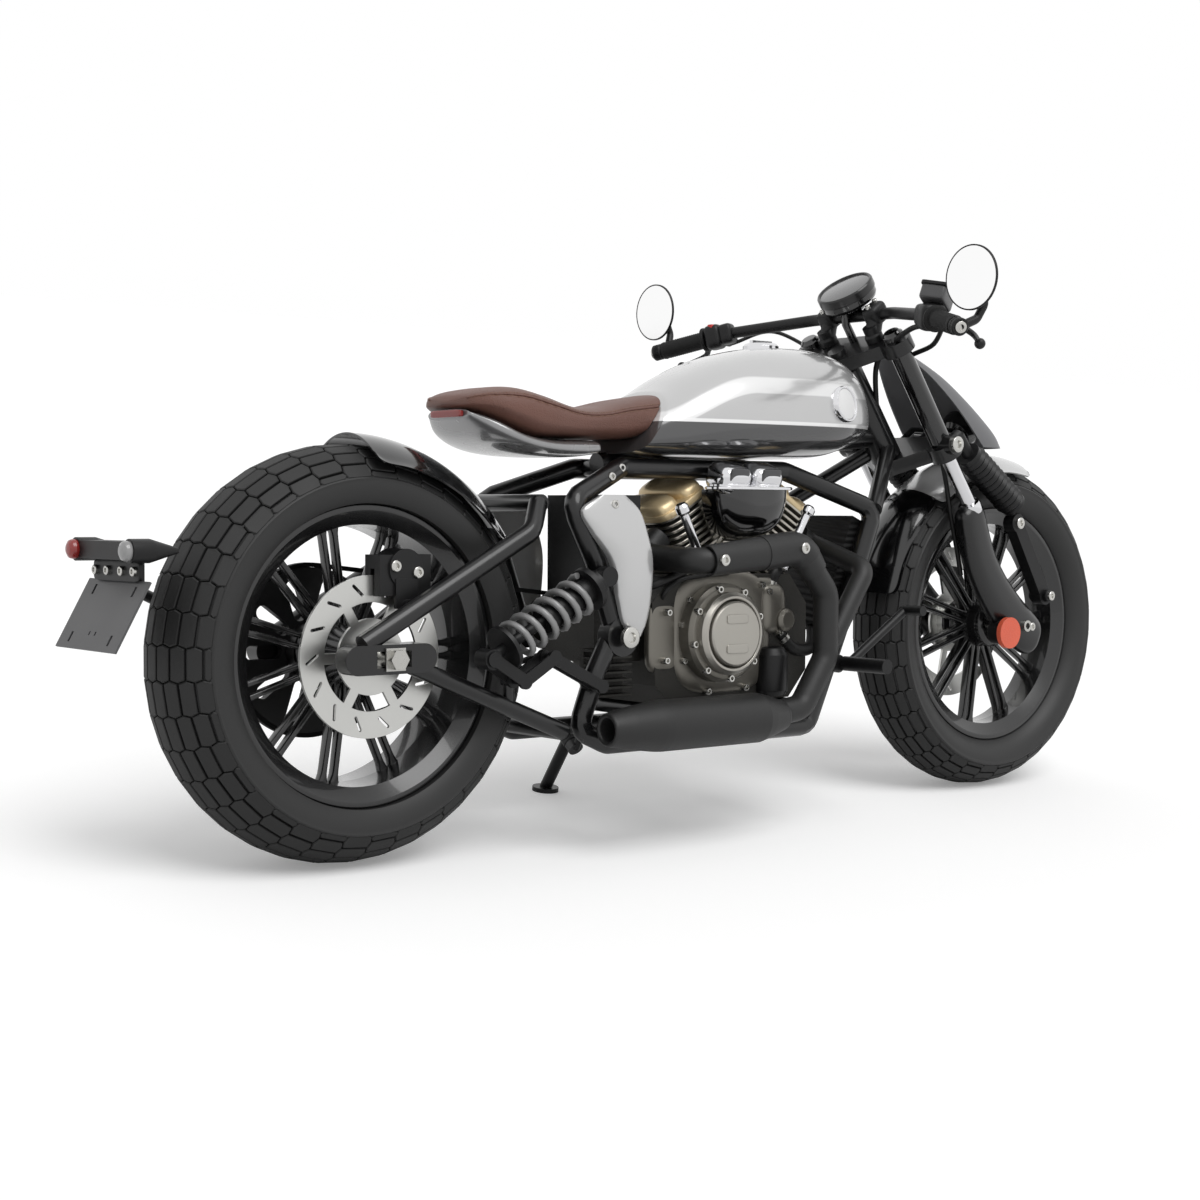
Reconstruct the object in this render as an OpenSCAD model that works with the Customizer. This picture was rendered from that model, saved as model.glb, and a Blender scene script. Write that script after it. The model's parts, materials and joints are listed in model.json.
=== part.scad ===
// Bobber motorcycle with a V-twin engine, parked on its side stand.
// Drawn upright, X forward, Y to the left, Z up, from the ground under the rear axle,
// then leaned to the left as one piece onto the stand.

/* [Stance] */
// Distance between the two axles
wheelbase = 1480; // [1400:10:1560]
// Lean to the left on the side stand
lean = 7; // [5:0.5:9]
// Rake of the fork from the vertical
rake = 35.5; // [32:0.5:38]

/* [Wheels] */
// Outer radius of both tyres
tyre_r = 320; // [310:1:330]
// Half width of the rear tyre
rear_tyre_half = 88; // [80:1:90]
// Radius of the rear tyre's crown across the tread
rear_crown_r = 100; // [94:1:110]
// Half width of the front tyre
front_tyre_half = 67.5; // [60:0.5:70]
// Radius of the front tyre's crown across the tread
front_crown_r = 74; // [70:1:80]
// Radius of the rim's lip
rim_lip_r = 229; // [222:1:234]
// Half width over the rear rim's lips
rear_rim_half = 71; // [64:1:74]
// Half width over the front rim's lips
front_rim_half = 46; // [40:1:48]
// Pairs of spokes in each wheel
spoke_pairs = 11; // [7:1:13]
// Width of one spoke bar
spoke_w = 11; // [8:1:13]
// Depth of a spoke along the axle
spoke_deep = 26; // [18:1:32]
// Radius of the wheel hubs
hub_r = 46; // [40:1:52]
// Radius of the rear axle
rear_axle_r = 12; // [9:1:14]
// Radius of the front axle
front_axle_r = 11; // [8:1:13]
// Bore radius of the hollow front axle
front_axle_bore_r = 6; // [4:0.5:7]

/* [Brakes and drive] */
// Outer radius of the rear brake disc
rear_disc_r = 122.6; // [115:0.2:130]
// Outer radius of the front brake disc
front_disc_r = 150; // [140:1:155]
// Thickness of the brake discs
disc_t = 5; // [4:0.5:6]
// Radius of the drive pulley on the rear wheel
pulley_r = 130; // [120:1:140]
// Width of the drive pulley
pulley_w = 14; // [12:1:15]
// Thickness of the drive belt
belt_t = 7; // [5:0.5:9]

/* [Frame] */
// Radius of the frame's tubes
frame_r = 17; // [14:0.5:19]
// Distance of the frame's side loops from the middle
frame_y = 125; // [122:0.5:128]
// Radius of the swingarm's tubes
arm_r = 15.5; // [12:0.5:15.5]
// Distance of the swingarm's arms from the middle
arm_y = 129; // [129:0.5:134]

/* [Fork] */
// Distance of the fork legs from the middle
fork_y = 105; // [103:1:112]
// Distance of the fork legs ahead of the steering stem
fork_offset = 45; // [40:1:50]
// Radius of the upper fork tubes
fork_r = 20; // [17:1:22]
// Distance between the two yokes along the stem
yoke_gap = 230; // [215:5:245]

/* [Rear spring] */
// Outer radius of the coil spring
spring_r = 35; // [32:0.5:37]
// Radius of the spring's wire
wire_r = 5.5; // [4:0.5:6]
// Turns of the spring
spring_turns = 6.5; // [5:0.5:7]

/* [Engine] */
// Angle between the two cylinders
vee_angle = 60; // [54:1:64]
// Radius over the cooling fins
fin_r = 62; // [56:1:64]
// Radius of the cylinder barrel under the fins
barrel_r = 50; // [46:1:52]
// Cooling fins on each cylinder
fin_count = 9; // [6:1:10]
// Half width of the crankcase
case_half = 108; // [100:1:108]

/* [Bodywork] */
// Half width of the fuel tank at its widest
tank_half = 135; // [120:1:140]
// Half width of the seat at its widest
seat_half = 115; // [100:1:120]
// Thickness of the fenders
fender_t = 4; // [3:0.5:5]

/* [Hidden] */
$fn = 48;

// Gap left between pieces that seat on each other
seat_gap = 0.3;
// Gap between a shaft and the bore that turns on it
run_gap = 0.1;

// The lift that brings the leaned rear tyre back onto the ground
lift = rear_crown_r * (1 - cos(lean));
rear_axle_at = [0, 0, tyre_r];
front_axle_at = [wheelbase, 0, tyre_r];

// The steering stem passes this far behind the front axle at axle height
stem_back = 35;
stem_top_z = 820;
stem_top_x = wheelbase - stem_back - (stem_top_z - tyre_r) * tan(rake);

function unit(v) = v / norm(v);
// The origin lies on the ground below the middle of the length and of the mirrors
tail_reach = 410;
mirror_at = [979, 403, 933];
home = [(wheelbase + tyre_r - tail_reach) / 2, mirror_at.z * sin(lean)];
function grounded(p) = [p.x - home.x, p.y * cos(lean) + p.z * sin(lean) - home.y,
    -p.y * sin(lean) + p.z * cos(lean) + lift];

module parked() {
    translate([-home.x, -home.y, lift]) rotate([-lean, 0, 0]) children();
}

module both_sides() {
    children();
    mirror([0, 1, 0]) children();
}

module fork_space() {
    translate([stem_top_x, 0, stem_top_z]) rotate([0, -rake, 0]) children();
}

// Straight round bar from one point to another
module rod(from, to, r) {
    d = to - from;
    translate(from) rotate([0, acos(d.z / norm(d)), atan2(d.y, d.x)])
        cylinder(h = norm(d), r = r);
}

// Points of a rounded corner at q, coming from p and leaving for r
function corner(p, q, r, bend, steps) = let (a = unit(q - p), b = unit(r - q),
    turn = acos(a * b), m = unit(b - a * (a * b)), c = q - a * bend * tan(turn / 2) + m * bend)
    [for (k = [0 : steps]) let (t = turn * k / steps) c + bend * (a * sin(t) - m * cos(t))];

// Centre line through a list of points, with its corners rounded
function route(pts, bend, steps = 3) = concat([pts[0]],
    [for (i = [1 : len(pts) - 2]) each corner(pts[i - 1], pts[i], pts[i + 1], bend, steps)],
    [pts[len(pts) - 1]]);
function loop_route(pts, bend, steps = 3) = let (n = len(pts)) [for (i = [0 : n - 1])
    each corner(pts[(i + n - 1) % n], pts[i], pts[(i + 1) % n], bend, steps)];

// One normal carried along a list of directions without twist
function carried(dirs, u, i = 0) = i == len(dirs) ? []
    : let (v = unit(u - dirs[i] * (dirs[i] * u))) concat([v], carried(dirs, v, i + 1));

// Rings of a round tube along a centre line
function tube_rings(line, r, sides, closed) = let (n = len(line),
    dirs = [for (i = [0 : n - 1]) closed ? unit(line[(i + 1) % n] - line[(i + n - 1) % n])
        : unit(line[min(i + 1, n - 1)] - line[max(i - 1, 0)])],
    side = abs(dirs[0].y) < 0.9 ? [0, 1, 0] : [1, 0, 0],
    us = carried(dirs, cross(dirs[0], side)))
    [for (i = [0 : n - 1]) let (v = cross(dirs[i], us[i]))
        [for (j = [0 : sides - 1]) let (a = 360 * j / sides)
            line[i] + r * (us[i] * cos(a) + v * sin(a))]];

module pipe(pts, r, bend, sides = 12, steps = 3) {
    loft(tube_rings(route(pts, bend, steps), r, sides, false));
}

module pipe_loop(pts, r, bend, sides = 12, steps = 3) {
    rings = tube_rings(loop_route(pts, bend, steps), r, sides, true);
    n = sides;
    m = len(rings);
    polyhedron(points = [for (ring = rings) each ring], faces = [for (i = [0 : m - 1])
        for (j = [0 : n - 1]) [i * n + j, (i + 1) % m * n + j,
            (i + 1) % m * n + (j + 1) % n, i * n + (j + 1) % n]], convexity = 6);
}

// Solid through a list of rings with the same number of points each. The end faces of a thin
// shell's ring, which runs out along one wall and back along the other, are strips.
module loft(rings, shell = false) {
    n = len(rings[0]);
    m = len(rings);
    pts = [for (ring = rings) each ring];
    sides = [for (i = [0 : m - 2]) for (j = [0 : n - 1])
        [i * n + j, (i + 1) * n + j, (i + 1) * n + (j + 1) % n, i * n + (j + 1) % n]];
    first = shell ? [for (j = [0 : n / 2 - 2]) [j, j + 1, n - 2 - j, n - 1 - j]]
        : [[for (j = [0 : n - 1]) j]];
    end = [for (face = first) [for (k = [len(face) - 1 : -1 : 0]) (m - 1) * n + face[k]]];
    polyhedron(points = pts, faces = concat(first, sides, end), convexity = 4);
}

function sgn_pow(v, p) = sign(v) * pow(abs(v), p);

// Ring across X: a rounded section with its widest point at height zw
function body_ring(x, half, top, bottom, zw, p = 0.8, count = 24) =
    [for (i = [0 : count - 1]) let (a = 360 * i / count, s = sin(a))
        [x, half * sgn_pow(cos(a), p), zw + (s > 0 ? top - zw : zw - bottom) * sgn_pow(s, p)]];

// Wheels

module at_axle(p) {
    translate(p) rotate([90, 0, 0]) children();
}

module tyre_section(half, crown_r, side_r, side_c, rim_half) {
    difference() {
        intersection() {
            translate([tyre_r - crown_r, 0]) circle(r = crown_r, $fn = 96);
            union() {
                for (s = [-1, 1]) translate([side_c, s * (half - side_r)]) circle(r = side_r);
                translate([side_c - side_r, -half + side_r])
                    square([2 * side_r + 20, 2 * (half - side_r)]);
            }
        }
        translate([0, -tyre_r]) square([rim_lip_r - 17, 2 * tyre_r]);
        for (s = [0, 1]) mirror([0, s])
            translate([0, rim_half - 9 - seat_gap]) square([rim_lip_r + seat_gap, tyre_r]);
    }
}

module tyre(half, crown_r, side_r, side_c, rim_half) {
    rotate_extrude($fn = 128) tyre_section(half, crown_r, side_r, side_c, rim_half);
}

// Cast rim: a well between two lips, pairs of spokes and a hub
module rim(half, axle_r, hub_half) {
    lip = 7;
    floor_r = rim_lip_r - 17 - seat_gap;
    difference() {
        union() {
            rotate_extrude($fn = 128) polygon([
                [rim_lip_r - 31, -half + 14], [rim_lip_r - 9, -half], [rim_lip_r, -half],
                [rim_lip_r, -half + lip], [floor_r, -half + lip + 2],
                [floor_r - 6, -half + 24], [floor_r - 6, half - 24],
                [floor_r, half - lip - 2], [rim_lip_r, half - lip], [rim_lip_r, half],
                [rim_lip_r - 9, half], [rim_lip_r - 31, half - 14]]);
            cylinder(h = 2 * hub_half, r = hub_r, center = true);
            for (i = [0 : spoke_pairs - 1]) rotate([0, 0, 360 * i / spoke_pairs]) spoke_pair();
        }
        cylinder(h = 3 * hub_half, r = axle_r + run_gap, center = true);
    }
}

module spoke_pair() {
    inner = hub_r - 5;
    outer = rim_lip_r - 26;
    slot = spoke_w;
    slot_end = outer - 16;
    translate([0, 0, -spoke_deep / 2]) linear_extrude(spoke_deep) difference() {
        polygon([[inner, -slot / 2 - spoke_w * 0.5], [inner, slot / 2 + spoke_w * 0.5],
            [outer, slot / 2 + spoke_w], [outer, -slot / 2 - spoke_w]]);
        translate([hub_r + 12, -slot / 2]) square([slot_end - hub_r - 12, slot]);
        translate([slot_end, 0]) circle(r = slot / 2, $fn = 24);
        translate([hub_r + 12, 0]) circle(r = slot / 2, $fn = 24);
    }
}

module slotted_disc(r, inner, slots) {
    difference() {
        cylinder(h = disc_t, r = r, center = true, $fn = 96);
        cylinder(h = 3 * disc_t, r = inner, center = true, $fn = 96);
        for (i = [0 : slots - 1]) rotate([0, 0, 360 * i / slots])
            translate([(r + inner) / 2, 0, 0]) rotate([0, 0, 35]) {
                cube([(r - inner) * 0.5, 5, 3 * disc_t], center = true);
                for (s = [-1, 1]) translate([s * (r - inner) * 0.25, 0, 0])
                    cylinder(h = 3 * disc_t, r = 2.5, center = true, $fn = 16);
            }
    }
}

rear_disc_y = -78;
rear_disc_inner = 82;
front_disc_y = 68;
front_disc_inner = 112;
pulley_y = rear_tyre_half + 6 + pulley_w / 2;
rear_hub_half = 70;
front_hub_half = 52;

module rear_tyre() {
    color("#1c1c1c") parked() at_axle(rear_axle_at)
        tyre(rear_tyre_half, rear_crown_r, 62, 262, rear_rim_half);
}

module rear_rim() {
    color("#0e0e0f") parked() at_axle(rear_axle_at)
        rim(rear_rim_half, rear_axle_r, rear_hub_half);
}

module rear_disc() {
    color("#c4c4c2") parked() translate([0, rear_disc_y, 0]) at_axle(rear_axle_at) {
        slotted_disc(rear_disc_r, rear_disc_inner, 14);
        difference() {
            union() {
                cylinder(h = disc_t, r = 58, center = true);
                translate([0, 0, rear_disc_y + rear_hub_half + seat_gap])
                    cylinder(h = -rear_disc_y - rear_hub_half - seat_gap, r = 40);
                for (i = [0 : 5]) rotate([0, 0, 60 * i]) translate([68, 0, 0])
                    cube([30, 16, disc_t], center = true);
            }
            cylinder(h = 60, r = rear_axle_r + 4, center = true);
        }
    }
}

module drive_pulley() {
    color("#1a1a1b") parked() translate([0, pulley_y, 0]) at_axle(rear_axle_at) difference() {
        union() {
            cylinder(h = pulley_w, r = pulley_r, center = true, $fn = 96);
            translate([0, 0, pulley_w / 2])
                cylinder(h = pulley_y - pulley_w / 2 - rear_hub_half - seat_gap, r = 44);
        }
        cylinder(h = 200, r = rear_axle_r + 4, center = true);
        for (i = [0 : 9]) rotate([0, 0, 36 * i]) translate([82, 0, 0]) {
            cube([44, 22, 40], center = true);
            translate([22, 0, 0]) cylinder(h = 40, r = 11, center = true, $fn = 24);
            translate([-22, 0, 0]) cylinder(h = 40, r = 11, center = true, $fn = 24);
        }
    }
}

// Belt round the rear pulley and the smaller one on the gearbox
front_pulley_r = 46;
front_pulley_at = [476, 348];

// Outline over both pulleys, grown by the same amount all round
module belt_outline(grow) {
    d = front_pulley_at - [0, tyre_r];
    r1 = pulley_r + grow;
    r2 = front_pulley_r + grow;
    open = acos((r1 - r2) / norm(d));
    turn = atan2(d.y, d.x);
    translate([0, tyre_r]) circle(r = r1, $fn = 96);
    translate(front_pulley_at) circle(r = r2);
    translate([0, tyre_r]) polygon([
        r1 * [cos(turn + open), sin(turn + open)], r1 * [cos(turn - open), sin(turn - open)],
        d + r2 * [cos(turn - open), sin(turn - open)], d + r2 * [cos(turn + open), sin(turn + open)]]);
}

module drive_belt() {
    color("#151515") parked() translate([0, pulley_y, 0]) rotate([90, 0, 0])
        linear_extrude(pulley_w - 1, center = true) difference() {
            belt_outline(seat_gap + belt_t);
            belt_outline(seat_gap);
        }
}

module front_tyre() {
    color("#1c1c1c") parked() at_axle(front_axle_at)
        tyre(front_tyre_half, front_crown_r, 46, 270, front_rim_half);
}

module front_rim() {
    color("#0e0e0f") parked() at_axle(front_axle_at) {
        rim(front_rim_half, front_axle_r, front_hub_half);
    }
}

module front_disc() {
    color("#c4c4c2") parked() translate([0, front_disc_y, 0]) at_axle(front_axle_at) {
        slotted_disc(front_disc_r, front_disc_inner, 16);
        difference() {
            union() {
                cylinder(h = disc_t, r = 60, center = true);
                translate([0, 0, disc_t / 2 - 0.01])
                    cylinder(h = front_disc_y - disc_t / 2 - front_hub_half - seat_gap, r = 40);
                for (i = [0 : 6]) rotate([0, 0, 360 * i / 7]) translate([85, 0, 0])
                    cube([60, 14, disc_t], center = true);
            }
            cylinder(h = 200, r = front_axle_r + 3, center = true);
        }
    }
}

// Frame

// Side loop of the frame: [x, z] of each corner, from the seat down and round the engine,
// and how far its top run draws in under the tank
loop_pts = [[345, 556], [395, 460], [436, 348], [398, 282], [362, 190], [420, 164], [878, 164],
    [961, 341], [1046, 545]];
loop_top = [[880, 612], [500, 612]];
loop_top_y = 62;
loop_bend = 24;

// Steering stem, in the bore of the head tube
stem_r = 13;

// Backbone tube under the tank
spine_r = 19;
spine_z = 680;

// Pin of the side stand: its place, the tilt of its axis above the horizontal and its size
stand_pin_at = [575, 166, 136];
stand_tilt = 40;
stand_pin_r = 7;
stand_barrel = 24;

// Footrest bosses: where the rests sit, and how far out the bosses reach
peg_at = [950, 272];
peg_boss_y = frame_y + frame_r + 6;

module stand_bracket() {
    axis = [0, cos(stand_tilt), sin(stand_tilt)];
    seat = stand_pin_at - axis * (stand_barrel / 2 + seat_gap);
    rod(seat - axis * 16, seat, 14);
    rod(seat - axis * 4, stand_pin_at + axis * (stand_barrel / 2 + 6), stand_pin_r);
    rod([stand_pin_at.x, frame_y, 158], seat - axis * 14, 7);
}

module frame() {
    rail_z = case_bottom - seat_gap - 14;
    color("#141414") parked() difference() {
        union() {
            stand_bracket();
            both_sides() pipe_loop(concat([for (p = loop_pts) [p.x, frame_y, p.y]],
                [for (p = loop_top) [p.x, loop_top_y, p.y]]), frame_r, loop_bend);
            // Cross tubes between the loops: [x, z, radius, half length]
            for (c = [[600, rail_z, 14, frame_y], [840, rail_z, 14, frame_y],
                [520, 612, 13, loop_top_y]]) rod([c.x, -c[3], c.y], [c.x, c[3], c.y], c.z);
            // Head tube and the backbone that joins it to the loops
            fork_space() translate([0, 0, -yoke_gap + 18])
                cylinder(h = yoke_gap - 36, r = 30);
            both_sides() rod([1046, frame_y, 545], [stem_top_x + 112, 16, stem_top_z - 160],
                frame_r - 2);
            rod([stem_top_x + 70, 0, spine_z], [500, 0, 618], spine_r);
            // Round covers of the swingarm's pivot, and the boss of each footrest
            both_sides() rod([442, frame_y - 10, 337], [442, frame_y + frame_r, 337], 32);
            both_sides() rod([936, frame_y, peg_at.y], [936, peg_boss_y, peg_at.y], 16);
            // Bosses of the shock's upper eye and of the tie link, on the right
            rod([shock_high.x, -frame_y, shock_high.z],
                [shock_high.x, shock_y + eye_high_w / 2 + seat_gap, shock_high.z], 12);
            rod([tie_end.x, -frame_y, tie_end.y],
                [tie_end.x, shock_y + 12.5 + seat_gap, tie_end.y], 11);
        }
        fork_space() translate([0, 0, -yoke_gap - 20]) cylinder(h = yoke_gap + 40, r = stem_r + run_gap);
    }
}

// Swingarm with the axle plates
arm_bend = [266, 508];
arm_top = [300, 552];
arm_pivot = [330, 190];
plate_rear = -84;
plate_front = 76;

module swingarm() {
    color("#161616") parked() {
        both_sides() {
            pipe([[-46, arm_y, 342], [arm_bend.x, arm_y, arm_bend.y],
                [arm_top.x, arm_y - 30, arm_top.y]], arm_r, 40);
            rod([40, arm_y, 308], [arm_pivot.x, arm_y, arm_pivot.y], arm_r - 2);
            axle_plate();
        }
        rod([arm_top.x, -arm_y + 20, arm_top.y], [arm_top.x, arm_y - 20, arm_top.y], 14);
        rod([arm_pivot.x, -arm_y, arm_pivot.y], [arm_pivot.x, arm_y, arm_pivot.y], 14);
        // Post and boss that carry the rocker
        rod([rocker_mid.x, -arm_y, rocker_mid.y - 42], [rocker_mid.x, -arm_y, rocker_mid.y], 9);
        rod([rocker_mid.x, -arm_y + 9, rocker_mid.y], [rocker_mid.x, shock_y + 18.5 + seat_gap, rocker_mid.y], 11);
    }
}

module axle_plate() {
    wide = 2 * arm_r;
    half_h = 22;
    difference() {
        translate([0, arm_y, tyre_r]) rotate([90, 0, 0]) {
            translate([plate_rear + half_h, 0, 0])
                cylinder(h = wide, r = half_h, center = true);
            translate([plate_front - half_h, 0, 0])
                cylinder(h = wide, r = half_h, center = true);
            translate([(plate_rear + plate_front) / 2, 0, 0])
                cube([plate_front - plate_rear - 2 * half_h, 2 * half_h, wide], center = true);
        }
        translate([-30, arm_y - 40, tyre_r - rear_axle_r - seat_gap])
            cube([60, 80, 2 * (rear_axle_r + seat_gap)]);
    }
}

module rear_axle() {
    nut_y = arm_y + arm_r;
    color("#b8b8b8") parked() translate(rear_axle_at) {
        rotate([90, 0, 0]) cylinder(h = 2 * nut_y + 24, r = rear_axle_r, center = true);
        both_sides() translate([0, nut_y + seat_gap + 2, 0]) {
            cube([34, 4, 34], center = true);
            translate([0, 2, 0]) rotate([-90, 0, 0]) cylinder(h = 12, r = 16, $fn = 6);
        }
    }
}

// Rear shock on the right: a damper with two spring seats and an eye at each end
shock_y = -arm_y - arm_r - 12;
shock_low = [162, shock_y, 314];
shock_high = [394, shock_y, 436];
shock_dir = unit(shock_high - shock_low);
shock_len = norm(shock_high - shock_low);
eye_low_w = 30.4;
eye_high_w = 20;
spring_from = 39;
spring_to = shock_len - 46;

module shock_space() {
    translate(shock_low) rotate([0, acos(shock_dir.z), atan2(shock_dir.y, shock_dir.x)]) children();
}

module rear_shock() {
    color("#202020") parked() {
        shock_space() {
            cylinder(h = shock_len, r = 9);
            translate([0, 0, shock_len * 0.45]) cylinder(h = shock_len * 0.47, r = 22);
            translate([0, 0, spring_from - 7]) cylinder(h = 7, r = spring_r + 1);
            translate([0, 0, spring_to]) cylinder(h = 10, r = spring_r + 1);
        }
        for (eye = [[shock_low, eye_low_w], [shock_high, eye_high_w]]) translate(eye[0])
            rotate([90, 0, 0]) cylinder(h = eye[1], r = 16, center = true);
    }
}

module rear_spring() {
    steps = 16;
    sides = 8;
    mid_r = spring_r - wire_r;
    rise = spring_to - spring_from - 2 * wire_r - 2 * seat_gap;
    total = round(spring_turns * steps);
    rings = [for (i = [0 : total]) let (a = 360 * i / steps,
        z = spring_from + seat_gap + wire_r + rise * i / total)
        [for (j = [0 : sides - 1]) let (b = 360 * j / sides, q = mid_r + wire_r * cos(b))
            [q * cos(a), q * sin(a), z + wire_r * sin(b)]]];
    color("#8e8e8e") parked() shock_space() loft([for (ring = rings)
        [for (j = [sides - 1 : -1 : 0]) ring[j]]]);
}

// Rocker and tie link that carry the lower end of the shock
rocker_mid = [221, 278];
rocker_front = [279, 312];
tie_end = [379, 262];

module rocker_links() {
    y_in = shock_y + 12;
    y_out = shock_y - 12;
    color("#1a1a1a") parked() for (y = [y_in + 3, y_out - 3]) {
        strap([shock_low.x, shock_low.z], rocker_mid, y - 2 * sign(shock_y - y), 12, 3);
        strap(rocker_mid, rocker_front, y, 12, 5);
        strap(rocker_front, tie_end, y - 5 * sign(y - shock_y), 11, 5);
        // Bolts across the links
        for (bolt = [[rocker_mid, 16], [rocker_front, 16], [tie_end, 12]]) let (p = bolt[0])
            rod([p.x, shock_y - bolt[1], p.y], [p.x, shock_y + bolt[1], p.y], 6);
    }
}

// Flat link with round ends between two [x, z] points
module strap(p, q, y, r, t) {
    d = q - p;
    translate([p.x, y, p.y]) rotate([90, 0, 0]) {
        cylinder(h = t, r = r, center = true);
        translate([d.x, d.y, 0]) cylinder(h = t, r = r, center = true);
        rotate([0, 0, atan2(d.y, d.x)]) translate([0, -r * 0.8, -t / 2])
            cube([norm(d), 1.6 * r, t]);
    }
}

// Curved shell that follows a tyre's crown over an arc of the wheel
module fender_shell(crown_r, gap, half, from, to) {
    rotate([0, 0, from]) rotate_extrude(angle = to - from, $fn = 96) intersection() {
        translate([tyre_r - crown_r, 0]) difference() {
            circle(r = crown_r + gap + fender_t, $fn = 96);
            circle(r = crown_r + gap, $fn = 96);
        }
        translate([tyre_r - crown_r, -half]) square([2 * crown_r, 2 * half]);
    }
}

module rear_fender() {
    color("#0b0b0c") parked() translate(rear_axle_at) rotate([90, 0, 0])
        fender_shell(rear_crown_r, 14, 96, 35, 89);
    // Tabs onto the swingarm's upper tubes
    color("#0b0b0c") parked() both_sides()
        rod([226, 90, 490], [226, arm_y - arm_r - seat_gap, 490], 7);
}

module rear_caliper() {
    color("#171717") parked() translate([50, rear_disc_y, tyre_r + 122]) difference() {
        union() {
            cube([92, 40, 62], center = true);
            translate([0, 0, 10]) rotate([90, 0, 0]) cylinder(h = 46, r = 30, center = true);
        }
        translate([0, 0, -40]) cube([140, disc_t + 6, 100], center = true);
    }
    // Bracket onto the swingarm
    color("#171717") parked() {
        translate([30, rear_disc_y - 25, tyre_r + 72]) cube([40, 6, 45]);
        rod([50, rear_disc_y - 22, tyre_r + 76], [50, -arm_y + arm_r + seat_gap, tyre_r + 76], 10);
    }
}

// Engine
crank_at = [770, 330];
case_bottom = 215;
case_pts = [[540, 250], [575, case_bottom], [850, case_bottom], [892, 262], [892, 380],
    [850, 432], [575, 432], [532, 388]];
cyl_from = 95;
cyl_to = 200;
head_to = 268;

module crankcase() {
    color("#35342f") parked() {
        translate([0, case_half, 0]) rotate([90, 0, 0])
            linear_extrude(2 * case_half) polygon(case_pts);
        // Gearbox behind the crankcase, with the front pulley on its shaft
        translate([440, -70, 290]) cube([110, 140, 108]);
        translate([front_pulley_at.x, 60, front_pulley_at.y]) rotate([-90, 0, 0])
            cylinder(h = pulley_y + pulley_w / 2 - 60, r = 20);
        translate([front_pulley_at.x, pulley_y, front_pulley_at.y]) rotate([90, 0, 0])
            cylinder(h = pulley_w, r = front_pulley_r, center = true);
    }
}

module on_cylinders() {
    for (s = [-1, 1]) translate([crank_at.x, 0, crank_at.y]) rotate([0, s * vee_angle / 2, 0])
        children();
}

module cylinders() {
    pitch = (cyl_to - cyl_from) / fin_count;
    color("#8d8b84") parked() difference() {
        on_cylinders() {
            rotate_extrude($fn = 64) polygon(concat([[0, cyl_from]],
                [for (i = [0 : fin_count - 1]) each [[barrel_r, cyl_from + i * pitch],
                    [barrel_r, cyl_from + (i + 0.45) * pitch], [fin_r, cyl_from + (i + 0.5) * pitch],
                    [fin_r, cyl_from + (i + 0.95) * pitch]]], [[barrel_r, cyl_to], [0, cyl_to]]));
            translate([0, 0, (cyl_to + head_to) / 2 - 6])
                cube([116, 150, head_to - cyl_to - 12], center = true);
        }
        translate([0, case_half + 50, 0]) rotate([90, 0, 0]) linear_extrude(2 * case_half + 100)
            polygon([[500, 200], [950, 200], [950, 432 + seat_gap], [500, 432 + seat_gap]]);
    }
}

module head_covers() {
    color("#c2a878") parked() on_cylinders() translate([0, 0, head_to - 12 + seat_gap]) {
        for (s = [-1, 1]) translate([s * 32, 0, 0]) intersection() {
            rotate([90, 0, 0]) cylinder(h = 140, r = 26, center = true);
            translate([-40, -80, 0]) cube([80, 160, 40]);
        }
    }
}

clutch_at = [672, 335];

module engine_covers() {
    y = case_half + seat_gap;
    color("#a9a69f") parked() {
        translate([clutch_at.x, -y, clutch_at.y]) rotate([90, 0, 0]) {
            cylinder(h = 34, r = 84);
            cylinder(h = 52, r = 70);
            cylinder(h = 58, r = 60);
        }
        translate([crank_at.x, y, crank_at.y]) rotate([-90, 0, 0]) {
            cylinder(h = 26, r = 84);
            cylinder(h = 42, r = 66);
        }
        translate([600, y, 320]) rotate([-90, 0, 0]) cylinder(h = 30, r = 62);
    }
}

bowl_at = [745, -128, 551];

module air_cleaner() {
    color("#0d0d0e") parked() translate(bowl_at) rotate([90, 0, 0]) {
        cylinder(h = 20, r = 58, center = true);
        translate([0, 0, 10]) cylinder(h = 30, r1 = 58, r2 = 40);
    }
    // Arms onto the two cylinder heads
    color("#0d0d0e") parked() for (x = [690, 850]) {
        rod([x, -75 - seat_gap, 560], [x, -110, 560], 9);
        rod([x, -105, 560], [bowl_at.x + sign(x - bowl_at.x) * 30, bowl_at.y, 556], 9);
    }
}

module intake_chrome() {
    color("#d8d8da") parked() {
        for (x = [-26, 26]) rod([bowl_at.x + x, bowl_at.y + 10.3 + 18, bowl_at.z + 20], [bowl_at.x + x, bowl_at.y + 29, 602], 18);
        for (s = [-1, 1]) rod([crank_at.x + s * 110, -case_half + 2, 540], [crank_at.x + s * 62, -case_half + 2, 436], 9);
    }
}

// Exhaust: a bent pipe into a low silencer on the right
pipe_y = -190;
pipe_r = 22;
exhaust_pts = [[601.8, -45, 496.2], [566, -45, 464], [566, pipe_y, 458], [700, pipe_y, 470], [790, pipe_y, 480],
    [858, pipe_y, 400], [858, pipe_y, 290], [800, pipe_y, 206], [748, pipe_y, 200]];
front_header_pts = [[934.8, -48, 498.7], [960, -48, 484], [957, pipe_y, 440], [860, pipe_y, 300]];
silencer_rear = 367;
silencer_front = 754;
silencer_z = 195;
silencer_r = 42;

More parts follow.
